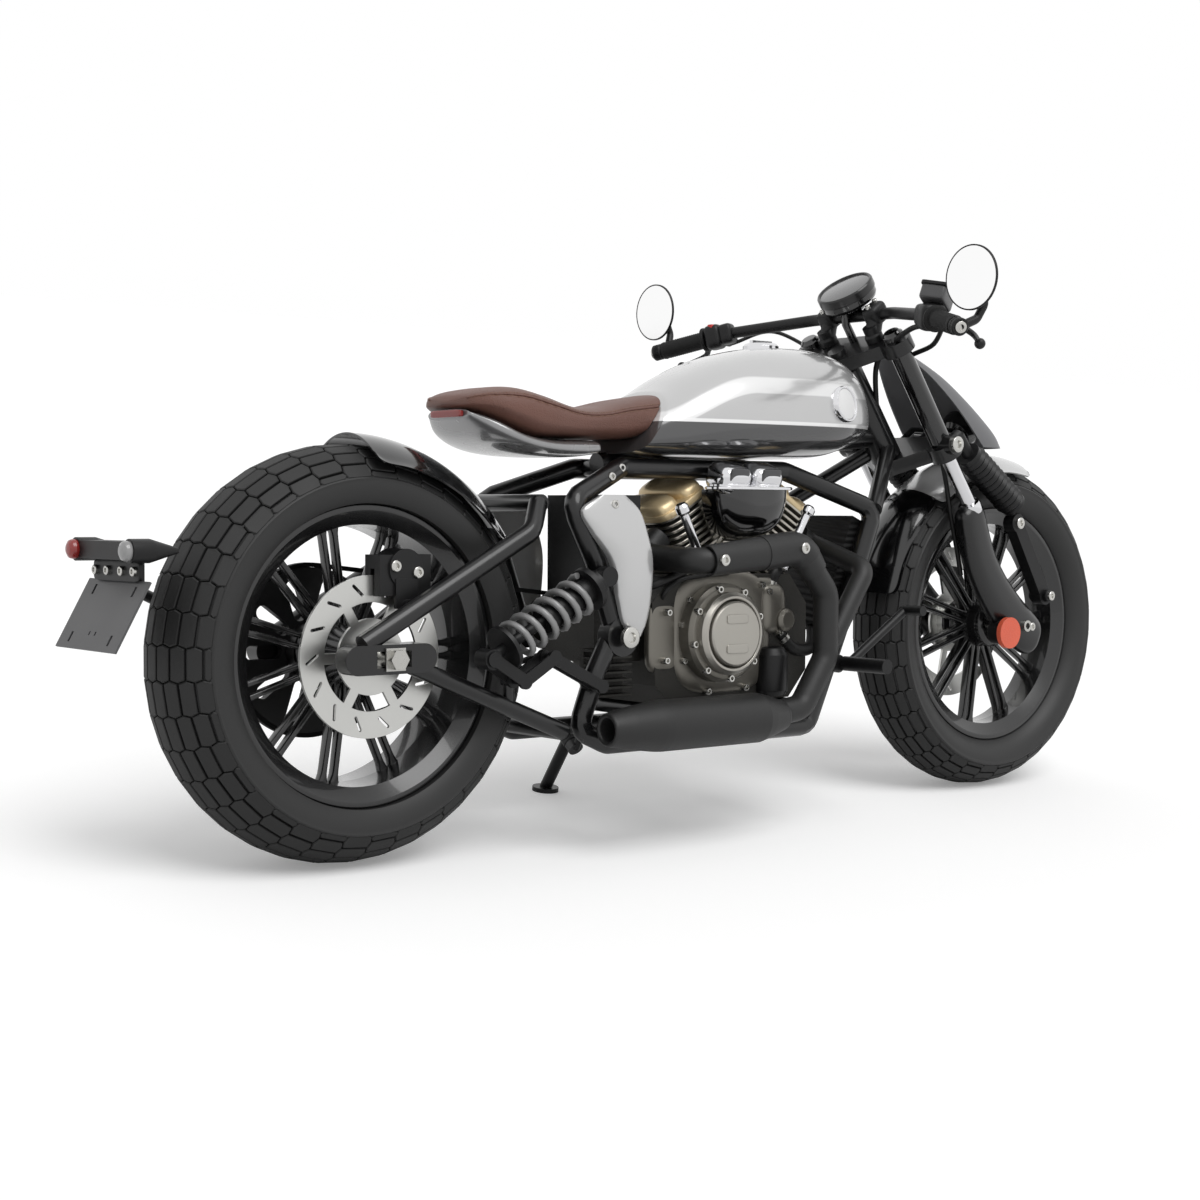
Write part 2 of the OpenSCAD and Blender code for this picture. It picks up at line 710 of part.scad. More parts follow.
module exhaust() {
    color("#2a2a2b") parked() {
        pipe(exhaust_pts, pipe_r, 34);
        pipe(front_header_pts, pipe_r - 4, 26);
        translate([silencer_rear, pipe_y, silencer_z]) rotate([0, 90, 0]) difference() {
            rotate_extrude() polygon([[0, 0], [26, 0], [silencer_r, 100],
                [silencer_r, 330], [pipe_r + 2, silencer_front - silencer_rear], [0, silencer_front - silencer_rear]]);
            translate([0, 0, -1]) cylinder(h = 60, r = 19);
        }
        // Hanger onto the frame's lower rail
        rod([560, -frame_y - frame_r - seat_gap, 168], [560, pipe_y + 25, 168], 9);
    }
}

module heat_shield() {
    run = exhaust_pts[2] - exhaust_pts[3];
    color("#171717") parked() difference() {
        pipe([exhaust_pts[2] + run * 0.12, exhaust_pts[3], exhaust_pts[4]], pipe_r + 7, 40);
        pipe([exhaust_pts[2] + run * 0.3, exhaust_pts[3], exhaust_pts[4], exhaust_pts[5]],
            pipe_r + 1.6, 34);
        translate([400, pipe_y + 6, 300]) cube([600, 100, 300]);
    }
}

module radiator() {
    color("#1b1b1b") parked() translate([985, 0, 430]) rotate([0, 22.4, 0]) {
        cube([34, 2 * (frame_y - frame_r - seat_gap), 210], center = true);
    }
}

module battery_box() {
    color("#181818") parked() {
        translate([462, -84, 398 + seat_gap]) cube([64, 168, 168]);
    }
}

// Finned rectifier beside the gearbox
rectifier_at = [410, -70 - seat_gap, 234];
rectifier_fins = 7;

module rectifier() {
    color("#35342f") parked() translate(rectifier_at) {
        translate([0, -9, 0]) cube([84, 9, 82]);
        for (i = [0 : rectifier_fins - 1]) translate([0, -32, 2 + 12.5 * i]) cube([84, 24, 4]);
    }
}

// Side cover outline by height: [z, rear x, front x, bulge]
cover_rows = [[337, 455, 474, 4], [362, 436, 486, 9], [400, 424, 494, 13], [461, 408, 497, 15],
    [505, 372, 486, 14], [541, 352, 470, 10], [566, 392, 440, 3]];
cover_y = frame_y + frame_r + seat_gap;

module side_covers() {
    rings = [for (row = cover_rows) let (mid = (row[1] + row[2]) / 2, half = (row[2] - row[1]) / 2)
        concat([for (i = [0 : 8]) let (a = 180 * i / 8)
            [mid + half * cos(a), -cover_y - 4 - row[3] * sin(a), row[0]]],
            [[mid - half, -cover_y, row[0]], [mid + half, -cover_y, row[0]]])];
    color("#b9b9ba") parked() both_sides() loft(rings);
}

// Slanted joint between the tank and the seat, in [x, z]
joint_foot = [520, 640];
joint_top = [596, 735];

// Everything ahead of the joint, or behind it, with half the seat gap left on each side
module joint_side(ahead) {
    d = unit(joint_top - joint_foot);
    tilt = atan2(d.x, d.y);
    translate([joint_foot.x, 0, joint_foot.y]) rotate([0, tilt, 0])
        translate([ahead ? seat_gap : -600 - seat_gap, -200, -600])
            cube([ahead ? 900 : 600, 400, 1200]);
}

// Fuel tank sections: [x, share of the half width, top, bottom]
tank_rows = [[508, 0.74, 690, 636], [560, 0.79, 722, 632], [610, 0.84, 746, 630],
    [670, 0.90, 779, 630], [740, 0.96, 807, 630], [830, 1.00, 828, 632], [920, 1.00, 834, 634],
    [980, 0.95, 831, 638], [1020, 0.86, 822, 648], [1046, 0.78, 806, 656],
    [1066, 0.68, 780, 664], [1086, 0.52, 757, 674], [1098, 0.34, 738, 684]];

module fuel_tank() {
    rings = [for (row = tank_rows)
        body_ring(row[0], tank_half * row[1], row[2], row[3], row[3] + (row[2] - row[3]) * 0.34)];
    color("#c7c7c7") parked() difference() {
        intersection() {
            loft(rings);
            joint_side(true);
        }
        // Tunnel over the backbone and recess of the filler cap
        translate([400, -spine_r - seat_gap, 600])
            cube([900, 2 * (spine_r + seat_gap), spine_z + spine_r + 8 - 600]);
        translate(cap_at) cylinder(h = 60, r = cap_r + 1);
    }
}

// Filler cap: the floor of its recess and its size
cap_at = [880, 0, 824];
cap_r = 32;

module tank_trim() {
    color("#dadada") parked() translate(cap_at + [0, 0, seat_gap]) {
        cylinder(h = 12, r = cap_r);
        translate([0, 0, 12]) cylinder(h = 5, r1 = cap_r, r2 = cap_r - 6);
        translate([-cap_r + 8, -4, 14]) cube([2 * cap_r - 16, 8, 8]);
    }
}

// Seat sections: [x, half width share, top, bottom]
seat_rows = [[190, 0.35, 716, 704], [204, 0.62, 725, 700], [232, 0.84, 733, 692], [278, 0.97, 738, 672],
    [330, 1.00, 729, 658], [400, 0.92, 712, 658], [464, 0.80, 713, 658], [530, 0.70, 727, 658],
    [600, 0.66, 738, 660]];

module seat() {
    color("#6b4a40") parked() intersection() {
        loft([for (row = seat_rows)
            body_ring(row[0], seat_half * row[1], row[2], row[3],
                row[3] + 0.35 * (row[2] - row[3]), 0.7, 20)]);
        joint_side(false);
    }
}

pan_rows = [[198, 0.50, 699, 684], [232, 0.78, 688, 656], [278, 0.92, 666, 638], [330, 0.95, 657, 629],
    [400, 0.88, 657, 627], [450, 0.76, 657, 632]];

module seat_pan() {
    color("#8d8d8e") parked() loft([for (row = pan_rows)
        body_ring(row[0], seat_half * row[1], row[2], row[3], row[3] + 0.4 * (row[2] - row[3]),
            0.7, 20)]);
}

// Bar of the plate carrier with a bullet lamp at each end, and the plate below it
tail_bar_at = [-380, 0, 482];
lamp_y = 84;
plate_at = [-393, 0, 391];
plate_tilt = 29;

module tail_lamps() {
    color("#8c1f1a") parked() {
        for (s = [-1, 1]) translate([tail_bar_at.x - 14 - seat_gap, s * lamp_y, tail_bar_at.z])
            rotate([0, -90, 0]) {
                cylinder(h = 6, r = 14);
                translate([0, 0, 6]) cylinder(h = 5, r1 = 14, r2 = 9);
            }
        // Lamp strip below the back of the seat
        translate([pan_rows[0][0] - seat_gap - 8, -40, 686]) cube([8, 80, 12]);
    }
}

module plate_carrier() {
    color("#1a1a1a") parked() {
        translate(tail_bar_at) {
            translate([-14, -lamp_y + 10, -13]) cube([40, 2 * lamp_y - 20, 26]);
            for (s = [-1, 1]) translate([-14, s * lamp_y, 0]) rotate([0, 90, 0]) {
                cylinder(h = 30, r = 17);
                translate([0, 0, 30]) cylinder(h = 44, r1 = 17, r2 = 4);
            }
        }
        // Lug, backing plate and the arm to the left end of the rear axle
        translate([-364.4, -52, 428]) cube([10, 104, 50]);
        translate(plate_at) rotate([0, plate_tilt, 0]) translate([1.5 + seat_gap, -75, -50])
            cube([8, 150, 100]);
        pipe([[-356, 30, 454], [-330, 118, 440], [-220, arm_y + arm_r + 9, 396],
            [-58, arm_y + arm_r + seat_gap + 9, 330]], 9, 30);
        translate([-76, arm_y + arm_r + seat_gap, 318]) cube([44, 6, 24]);
    }
}

module plate() {
    color("#717171") parked() translate(plate_at) rotate([0, plate_tilt, 0]) difference() {
        cube([3, 190, 110], center = true);
        // Fixing slots and two drain holes
        for (y = [-62, 62], z = [-38, 38]) translate([0, y, z]) cube([9, 6, 16], center = true);
        for (y = [-9, 9]) translate([0, y, -30]) cube([9, 4, 6], center = true);
    }
}

module foot_controls() {
    color("#1a1a1a") parked() both_sides() {
        rod([peg_at.x, peg_boss_y + seat_gap, peg_at.y], [peg_at.x, 250, peg_at.y], 13);
        rod([peg_at.x, peg_boss_y + 10, peg_at.y], [1081, 172, 364], 8);
        rod([1081, 165, 364], [1081, 215, 364], 9);
    }
}

// Fork, drawn along the steering stem: Z up the stem, X ahead of it

module yoke_plate(t, grip) {
    difference() {
        union() {
            for (s = [-1, 1]) translate([fork_offset, s * fork_y, 0])
                cylinder(h = t, r = grip, center = true);
            cylinder(h = t, r = 28, center = true);
            linear_extrude(t, center = true) polygon([[-18, -20], [-18, 20],
                [fork_offset - 10, fork_y], [fork_offset + 22, fork_y],
                [fork_offset + 22, -fork_y], [fork_offset - 10, -fork_y]]);
        }
        for (s = [-1, 1]) translate([fork_offset, s * fork_y, 0])
            cylinder(h = 3 * t, r = fork_r + seat_gap, center = true);
    }
}

module yokes() {
    color("#1b1b1c") parked() difference() {
        union() {
            fork_space() {
                yoke_plate(26, 30);
                translate([0, 0, -yoke_gap]) yoke_plate(30, 30);
                translate([0, 0, 13]) cylinder(h = 12, r = 17);
                translate([0, 0, -yoke_gap]) cylinder(h = yoke_gap, r = stem_r);
            }
            // Bosses of the shocks at the ends of the lower yoke
            both_sides() rod([1250, fork_y, 667], [1250, 140, 667], 19);
        }
        fork_space() both_sides() translate([fork_offset, fork_y, -yoke_gap - 40])
            cylinder(h = yoke_gap + 80, r = fork_r + seat_gap);
    }
}

// Curved lower leg: centre line in [x, z] and half width in the side view
leg_rows = [[1328, 556, 32], [1344, 500, 36], [1366, 446, 38], [1400, 396, 40], [1442, 352, 42],
    [1484, 318, 42], [1514, 298, 38], [1534, 288, 24]];
leg_deep = 21;
reflector_y = fork_y + leg_deep + 2;

module fork_legs() {
    n = len(leg_rows) - 1;
    line = [for (row = leg_rows) [row[0], fork_y, row[1]]];
    rings = [for (i = [0 : n]) let (d = unit(line[min(i + 1, n)] - line[max(i - 1, 0)]),
        u = [d.z, 0, -d.x])
        [for (j = [0 : 15]) let (a = 22.5 * j) line[i] + u * leg_rows[i][2] * sgn_pow(cos(a), 0.6)
            + [0, leg_deep * sgn_pow(sin(a), 0.6), 0]]];
    color("#101011") parked() {
        both_sides() {
            fork_space() translate([fork_offset, fork_y, -yoke_gap - 112])
                cylinder(h = yoke_gap + 112 + 26, r = fork_r);
            difference() {
                loft(rings);
                translate([wheelbase, fork_y, tyre_r]) rotate([90, 0, 0])
                    cylinder(h = 80, r = front_axle_r + run_gap, center = true);
            }
            // Lugs and pin that hold the link's lower eye, and the boss of the reflector
            for (s = [-1, 1]) strap([1508, 318], link_end, fork_y + s * (link_t / 2 + 3), 14, 5);
            rod([link_end.x, fork_y - 20, link_end.y], [link_end.x, fork_y + 20, link_end.y], link_pin_r);
            rod([1420, fork_y - 4, 309], [1420, reflector_y, 309], 24);
        }
    }
}

shock_top = [1325, 652];
shock_end = [1462, 556];
link_top = [1466, 520];
link_end = [1553, 377];
link_t = 24;
link_pin_r = 8;
bellows_r = 29;
bellows_ribs = 11;

module fork_shocks() {
    d = shock_end - shock_top;
    tilt = atan2(d.x, d.y);
    pitch = (norm(d) - 20) / bellows_ribs;
    color("#181818") parked() both_sides() difference() {
        union() {
            // Ribbed bellows between two collars
            translate([shock_top.x, fork_y, shock_top.y]) rotate([0, tilt, 0])
                rotate_extrude() polygon(concat([[0, 0], [bellows_r - 4, 0]],
                    [for (i = [0 : bellows_ribs - 1]) each [[bellows_r - 5, 12 + i * pitch],
                        [bellows_r, 12 + (i + 0.5) * pitch]]],
                    [[bellows_r - 5, norm(d) - 8], [bellows_r - 3, norm(d) - 6],
                    [bellows_r - 3, norm(d)], [0, norm(d)]]));
            strap(link_top, link_end, fork_y, 18, link_t);
            fork_space() {
                rod([fork_offset + 30 + seat_gap, fork_y, -yoke_gap], [94, fork_y, -yoke_gap], 12);
                rod([92, fork_y, -yoke_gap], [96, fork_y, -yoke_gap - 50], 12);
            }
        }
        translate([link_end.x, fork_y, link_end.y]) rotate([90, 0, 0])
            cylinder(h = 60, r = link_pin_r + run_gap, center = true);
    }
}

module front_axle() {
    half = fork_y + leg_deep + 6;
    color("#b0b0b0") parked() translate(front_axle_at) rotate([90, 0, 0]) difference() {
        cylinder(h = 2 * half, r = front_axle_r, center = true);
        cylinder(h = 3 * half, r = front_axle_bore_r, center = true);
    }
}

// The painted front part of the front fender and the black part behind it meet at this angle
fender_split = 128;

module front_fender() {
    color("#c7c7c7") parked() {
        translate(front_axle_at) rotate([90, 0, 0])
            fender_shell(front_crown_r, 12, 73, 75, fender_split);
        // Tabs onto the fork tubes
        both_sides() rod([1326, 70, 570], [1326, fork_y - fork_r - seat_gap, 570], 9);
    }
}

module fender_extension() {
    color("#0b0b0c") parked() translate(front_axle_at) rotate([90, 0, 0])
        fender_shell(front_crown_r, 12, 66, fender_split + 0.1, 168);
}

// Direction of the front caliper from the axle
front_caliper_turn = 152;

module front_caliper() {
    wide = 2 * (fork_y - leg_deep - seat_gap - front_disc_y);
    color("#171717") parked() translate([0, front_disc_y, 0]) at_axle(front_axle_at)
        rotate([0, 0, front_caliper_turn]) difference() {
            translate([front_disc_r - 8, 0, 0]) cube([60, 100, wide], center = true);
            translate([front_disc_r - 50, 0, 0]) cube([112, 160, disc_t + 6], center = true);
        }
}

// Cowl ahead of the fork, by height: [z, front x, rear x, half width]
cowl_rows = [[836, 1262, 1226, 40], [800, 1330, 1264, 62], [760, 1386, 1302, 78],
    [720, 1438, 1338, 88], [690, 1474, 1364, 92], [666, 1490, 1388, 92]];
cowl_t = 4;
// Headlight, sunk in the cowl's slope
lamp_at = [1436, 0, 712];
lamp_tilt = 52;
lamp_r = 38;

// Half a rounded outline, open to the rear, with its inner wall
function cowl_ring(row) = let (rows = [for (t = [0, cowl_t])
    [for (i = [0 : 14]) let (a = -90 + 180 * i / 14)
        [row[2] + (row[1] - row[2] - t) * sgn_pow(cos(a), 0.8), (row[3] - t) * sgn_pow(sin(a), 0.8),
            row[0]]]])
    concat(rows[0], [for (i = [14 : -1 : 0]) rows[1][i]]);

module lamp_space() {
    translate(lamp_at) rotate([0, lamp_tilt, 0]) children();
}

module cowl() {
    color("#6f6f70") parked() difference() {
        loft([for (i = [len(cowl_rows) - 1 : -1 : 0]) cowl_ring(cowl_rows[i])], true);
        lamp_space() translate([0, 0, -60]) cylinder(h = 160, r = lamp_r + seat_gap);
    }
}

module headlight() {
    color("#0e0e0f") parked() {
        lamp_space() {
            translate([0, 0, -24]) cylinder(h = 34, r = lamp_r);
            translate([0, 0, 10]) cylinder(h = 4, r1 = lamp_r, r2 = lamp_r - 5);
        }
        // Two bars onto the lower yoke
        fork_space() for (s = [-1, 1]) {
            rod([fork_offset + 22 + seat_gap, s * 24, -yoke_gap], [116, s * 24, -yoke_gap], 8);
            rod([112, s * 24, -yoke_gap], [196, s * 18, -yoke_gap - 62], 8);
        }
    }
}

module gauge() {
    color("#3a3a3a") parked() fork_space() {
        translate([84, 0, 76]) cylinder(h = 34, r = 55);
        translate([50, 0, 13 + seat_gap]) cylinder(h = 64, r = 8);
    }
}

bar_pts = [[1118, 0, 905], [1118, 100, 905], [1036, 250, 885], [973, 376, 854]];
riser_y = 58;

module handlebars() {
    left = [for (i = [1 : 3]) bar_pts[i]];
    color("#121212") parked() {
        pipe(concat([for (i = [2 : -1 : 0]) [left[i].x, -left[i].y, left[i].z]], left), 11, 60);
        both_sides() fork_space() {
            translate([46, riser_y, 13 + seat_gap]) cylinder(h = 14, r = 16);
            rod([46, riser_y, 24], [73.5, riser_y, 52], 14);
            rod([73.5, riser_y - 17, 52], [73.5, riser_y + 17, 52], 19);
        }
    }
}

module grips() {
    a = bar_pts[2];
    d = unit(bar_pts[3] - a);
    color("#0d0d0d") parked() both_sides() difference() {
        rod(a + d * 48, bar_pts[3] - d * 2, 17);
        rod(a - d * 40, bar_pts[3] + d * 40, 11 + seat_gap);
    }
}

module hand_controls() {
    a = bar_pts[2];
    d = unit(bar_pts[3] - a);
    // Perch ahead of the bar, where the lever turns, and the lever's ball end
    perch = a + d * 30 + [40, 0, -4];
    ball = bar_pts[3] + d * 4 + [58, 0, -26];
    color("#191919") parked() {
        both_sides() difference() {
            union() {
                rod(a + d * 13, a + d * 46, 22);
                rod(a + d * 30, perch, 13);
                pipe([perch - d * 12, perch + d * 50 + [6, 0, 0], ball], 5.5, 60);
                translate(ball) sphere(r = 9.5);
            }
            rod(a - d * 60, a + d * 90, 11 + seat_gap);
        }
        // Brake fluid reservoir on the right
        translate([a.x, -a.y, a.z] + [d.x, -d.y, d.z] * 24 + [16, 0, 34]) rotate([10, 20, 25]) {
            cube([60, 46, 26], center = true);
            translate([0, 0, 15]) cube([64, 50, 5], center = true);
        }
    }
}

module mirrors() {
    d = unit(bar_pts[3] - bar_pts[2]);
    color("#222222") parked() both_sides() {
        rod(bar_pts[3] + d * seat_gap, bar_pts[3] + d * 16, 15);
        pipe([bar_pts[3] + d * 12, [1012, 398, 880], [mirror_at.x + 2, mirror_at.y, 912]], 6, 14);
        translate(mirror_at) rotate([0, 90, 0]) cylinder(h = 8, r = 55, center = true);
    }
}

module reflectors() {
    color("#db674e") parked() both_sides()
        translate([1420, reflector_y + seat_gap, 309]) rotate([-90, 0, 0]) cylinder(h = 10, r = 30);
}

// Side stand, in the leaned frame: a barrel on the frame's pin, a leg and a flat foot
stand_leg = [0.12, sin(stand_tilt - lean), -cos(stand_tilt - lean)];
stand_pivot = grounded(stand_pin_at);
stand_foot = stand_pivot + stand_leg * (stand_pivot.z / -stand_leg.z);
stand_axis = [0, cos(stand_tilt - lean), sin(stand_tilt - lean)];

module side_stand() {
    color("#1a1a1a") {
        translate(stand_foot) cylinder(h = 8, r = 24);
        difference() {
            union() {
                rod(stand_foot + [0, 0, 7], stand_pivot, 11);
                rod(stand_pivot - stand_axis * stand_barrel / 2,
                    stand_pivot + stand_axis * stand_barrel / 2, 15);
            }
            rod(stand_pivot - stand_axis * 40, stand_pivot + stand_axis * 40,
                stand_pin_r + run_gap);
        }
    }
}

rear_tyre();
rear_rim();
rear_disc();
drive_pulley();
front_tyre();
front_rim();
front_disc();
frame();
swingarm();
rear_axle();
rear_shock();
rear_spring();
rocker_links();
rear_fender();
rear_caliper();
drive_belt();
crankcase();
cylinders();
head_covers();
engine_covers();
air_cleaner();
intake_chrome();
exhaust();
heat_shield();
radiator();
battery_box();
rectifier();
side_covers();
fuel_tank();
tank_trim();
seat();
seat_pan();
tail_lamps();
plate_carrier();
plate();
foot_controls();
yokes();
fork_legs();
fork_shocks();
front_axle();
front_fender();
fender_extension();
front_caliper();
cowl();
headlight();
gauge();
handlebars();
grips();
hand_controls();
mirrors();
reflectors();
side_stand();
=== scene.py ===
import json
import math

import bpy
import numpy as np
from mathutils import Matrix, Vector

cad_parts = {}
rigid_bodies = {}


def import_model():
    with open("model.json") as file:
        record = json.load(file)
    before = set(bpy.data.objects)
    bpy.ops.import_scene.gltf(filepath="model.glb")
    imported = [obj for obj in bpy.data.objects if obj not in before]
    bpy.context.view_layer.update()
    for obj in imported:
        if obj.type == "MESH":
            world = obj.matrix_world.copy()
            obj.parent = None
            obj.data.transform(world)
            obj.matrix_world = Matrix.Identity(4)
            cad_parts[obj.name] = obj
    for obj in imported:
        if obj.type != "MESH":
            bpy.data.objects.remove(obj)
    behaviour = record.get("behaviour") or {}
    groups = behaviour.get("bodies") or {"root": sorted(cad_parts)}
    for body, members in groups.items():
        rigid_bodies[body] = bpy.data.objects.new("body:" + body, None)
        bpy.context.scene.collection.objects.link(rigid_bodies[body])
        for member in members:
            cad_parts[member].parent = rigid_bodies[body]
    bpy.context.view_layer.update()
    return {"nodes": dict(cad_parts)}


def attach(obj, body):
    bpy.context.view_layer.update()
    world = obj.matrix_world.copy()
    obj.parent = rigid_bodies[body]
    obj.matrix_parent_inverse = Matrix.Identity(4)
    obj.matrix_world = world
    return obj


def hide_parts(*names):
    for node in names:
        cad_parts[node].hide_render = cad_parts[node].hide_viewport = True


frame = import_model()
nodes = frame["nodes"]

# Stance. The motorcycle leans to the left on its side stand. Its new pieces are laid out
# upright in millimetres, X forward, Y left, Z up from the ground under the rear axle, and
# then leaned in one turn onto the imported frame.
lean = math.radians(7)
tyre_radius = 320.0
wheelbase = 1480.0
rear_crown = 100.0
front_crown = 74.0
origin_x = 695.0
mirror_height = 933.0
lift = rear_crown * (1 - math.cos(lean))
upright_turn = np.array([[1, 0, 0], [0, math.cos(lean), math.sin(lean)],
                         [0, -math.sin(lean), math.cos(lean)]])
upright_shift = np.array([-origin_x, -mirror_height * math.sin(lean), lift])


def parked(points):
    """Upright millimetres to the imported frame's metres: a turn about X, then a shift."""
    return (np.asarray(points, float) @ upright_turn.T + upright_shift) / 1000


def sheet_of(grid, round_rows=False, round_columns=True, ends=True):
    """Points and faces of a surface from a grid (rows, columns, xyz). Neighbours in the
    grid share a face; a round side joins its last line to its first, and the first and last
    rows are closed by one face each where ends is true."""
    rows, columns = grid.shape[:2]
    index = np.arange(rows * columns).reshape(rows, columns)
    if round_rows:
        index = np.vstack([index, index[:1]])
    if round_columns:
        index = np.hstack([index, index[:, :1]])
    quads = np.stack([index[:-1, :-1], index[:-1, 1:], index[1:, 1:], index[1:, :-1]], -1)
    faces = quads.reshape(-1, 4).tolist()
    if ends and round_columns and not round_rows:
        faces.append(index[0, :columns][::-1].tolist())
        faces.append(index[-1, :columns].tolist())
    return grid.reshape(-1, 3), faces


def piece(name, sheets, material, body, smooth=True, sharp=35, uv=None):
    """One object of several (points, faces) sheets, in upright millimetres, riding on a body.
    Its normals are turned outwards and edges over the sharp angle stay crisp."""
    points, faces, start = [], [], 0
    for verts, polys in sheets:
        points.append(verts)
        faces += [[start + k for k in poly] for poly in polys]
        start += len(verts)
    points = np.vstack(points)
    mesh = bpy.data.meshes.new(name)
    mesh.from_pydata(parked(points).tolist(), [], faces)
    mesh.validate()
    if uv is not None:
        layer = mesh.uv_layers.new(name="upright")
        loops = np.empty(len(mesh.loops), np.int32)
        mesh.loops.foreach_get("vertex_index", loops)
        layer.data.foreach_set("uv", uv(points[loops]).astype(np.float32).ravel())
    mesh.materials.append(material)
    obj = bpy.data.objects.new(name, mesh)
    bpy.context.scene.collection.objects.link(obj)
    outward = bpy.context.view_layer.objects
    outward.active = obj
    bpy.ops.object.select_all(action="DESELECT")
    obj.select_set(True)
    bpy.ops.object.mode_set(mode="EDIT")
    bpy.ops.mesh.select_all(action="SELECT")
    bpy.ops.mesh.normals_make_consistent(inside=False)
    bpy.ops.object.mode_set(mode="OBJECT")
    if smooth:
        mesh.shade_smooth()
        mesh.set_sharp_from_angle(angle=math.radians(sharp))
    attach(obj, body)
    return obj


def hex_colour(code):
    """Linear colour of an sRGB hex code such as #c7c7c7."""
    rgb = np.array([int(code[k:k + 2], 16) / 255 for k in (1, 3, 5)])
    line = np.where(rgb <= 0.04045, rgb / 12.92, ((rgb + 0.055) / 1.055) ** 2.4)
    return (*line.tolist(), 1.0)


def add(tree, kind, links=(), **settings):
    """Adds a node. settings name its sockets (spaces as _) or its own properties, and links
    are pairs (its input, another node's output socket)."""
    node = tree.nodes.new(kind)
    for key, value in settings.items():
        label = key.replace("_", " ")
        if hasattr(node, key):
            setattr(node, key, value)
        else:
            node.inputs[label].default_value = value
    for socket, output in links:
        tree.links.new(output, node.inputs[socket])
    return node


def finish(name, colour, roughness, metallic=0.0, grain=0.6, bump=0.05, mottle=0.12,
           coat=0.0, patch=60.0, specular=0.5, edge=0.8, cells=False):
    """A finish with a fine grain of the given size in mm for its bump, a slow drift of tone
    and roughness over patches of the given size in mm, and its edges eased by the given
    radius in mm. The grain is pebbled where cells is true, as on leather."""
    material = bpy.data.materials.new(name)
    material.use_nodes = True
    tree = material.node_tree
    shader = tree.nodes["Principled BSDF"]
    place = add(tree, "ShaderNodeTexCoord").outputs["Object"]
    drift = add(tree, "ShaderNodeTexNoise", [("Vector", place)], Scale=1000 / patch, Detail=3.0)
    if cells:
        fine = add(tree, "ShaderNodeTexVoronoi", [("Vector", place)], Scale=1000 / grain)
        height = fine.outputs["Distance"]
    else:
        fine = add(tree, "ShaderNodeTexNoise", [("Vector", place)], Scale=1000 / grain,
                   Detail=2.0)
        height = fine.outputs["Fac"]
    tone = add(tree, "ShaderNodeMapRange", [("Value", drift.outputs["Fac"])],
               To_Min=1 - mottle, To_Max=1 + mottle)
    base = add(tree, "ShaderNodeMix", [("Factor", tone.outputs["Result"])], data_type="RGBA")
    base.clamp_factor = False
    base.inputs[6].default_value = (0, 0, 0, 1)
    base.inputs[7].default_value = hex_colour(colour)
    rough = add(tree, "ShaderNodeMapRange", [("Value", drift.outputs["Fac"])],
                To_Min=max(roughness - 0.07, 0.02), To_Max=min(roughness + 0.07, 1.0))
    eased = add(tree, "ShaderNodeBevel", samples=4, Radius=edge / 1000)
    relief = add(tree, "ShaderNodeBump", [("Height", height),
                                          ("Normal", eased.outputs["Normal"])],
                 Strength=bump, Distance=grain / 1000)
    tree.links.new(base.outputs[2], shader.inputs["Base Color"])
    tree.links.new(rough.outputs["Result"], shader.inputs["Roughness"])
    tree.links.new(relief.outputs["Normal"], shader.inputs["Normal"])
    shader.inputs["Metallic"].default_value = metallic
    shader.inputs["Coat Weight"].default_value = coat
    shader.inputs["Coat Roughness"].default_value = 0.04
    shader.inputs["Specular IOR Level"].default_value = specular
    return material


def dress(material, *names, crease=32):
    """Gives CAD nodes a finish in place of their plain one. Their loose triangles are welded
    in a modifier and shaded smooth up to the crease angle."""
    for name in names:
        part = nodes[name]
        part.data.materials.clear()
        part.data.materials.append(material)
        smooth = np.ones(len(part.data.polygons), bool)
        part.data.polygons.foreach_set("use_smooth", smooth)
        weld = part.modifiers.new("weld", "WELD")
        weld.merge_threshold = 0.00002
        split = part.modifiers.new("crease", "EDGE_SPLIT")
        split.split_angle = math.radians(crease)


# Tyres. Each is a fat moulded tyre of carbon-black rubber: a smooth carcass with a raised
# ring on its sidewall, and rows of staggered six-sided tread blocks moulded onto the crown,
# as on the flat-track pattern that such bobbers wear.
tread_rubber = finish("moulded tread rubber", "#121212", 0.62, grain=0.8, bump=0.25, mottle=0.18)
sidewall_rubber = finish("moulded sidewall rubber", "#1d1d1d", 0.5, grain=0.5, bump=0.12,
                         mottle=0.12, patch=90)
tread_depth = 6.0
tread_rows = 38
block_gap = 4.0


def carcass_profile(half, crown, side_r, side_c, rim_half):
    """Half section of a tyre from its crown to the bead, as (radius, distance from middle):
    the crown arc less the tread depth, the side arc, and the bead's edge."""
    crown_c = tyre_radius - crown
    turn = np.radians(np.linspace(0, 90, 400))
    across = np.stack([crown_c + crown * np.cos(turn), crown * np.sin(turn)], 1)
    inside = np.hypot(across[:, 0] - side_c, across[:, 1] - half + side_r) <= side_r
    inside |= across[:, 1] < half - side_r
    edge = turn[inside].max()
    top = np.linspace(0, edge, 30)
    depth = tread_depth * np.clip((edge - top) / (0.12 * edge), 0, 1)
    first = np.stack([crown_c + (crown - depth) * np.cos(top), (crown - depth) * np.sin(top)], 1)
    begin = np.arctan2(first[-1, 1] - half + side_r, first[-1, 0] - side_c)
    low = math.acos((230 - side_c) / side_r)
    side = np.linspace(begin, low, 30)[1:]
    ridge = 1.4 * np.exp(-((side - 1.45) / 0.06) ** 2)
    second = np.stack([side_c + (side_r + ridge) * np.cos(side),
                       half - side_r + (side_r + ridge) * np.sin(side)], 1)
    bead = np.array([[229.6, rim_half - 4], [218, rim_half - 12], [214, 0]])
    return np.vstack([first, second, bead]), edge


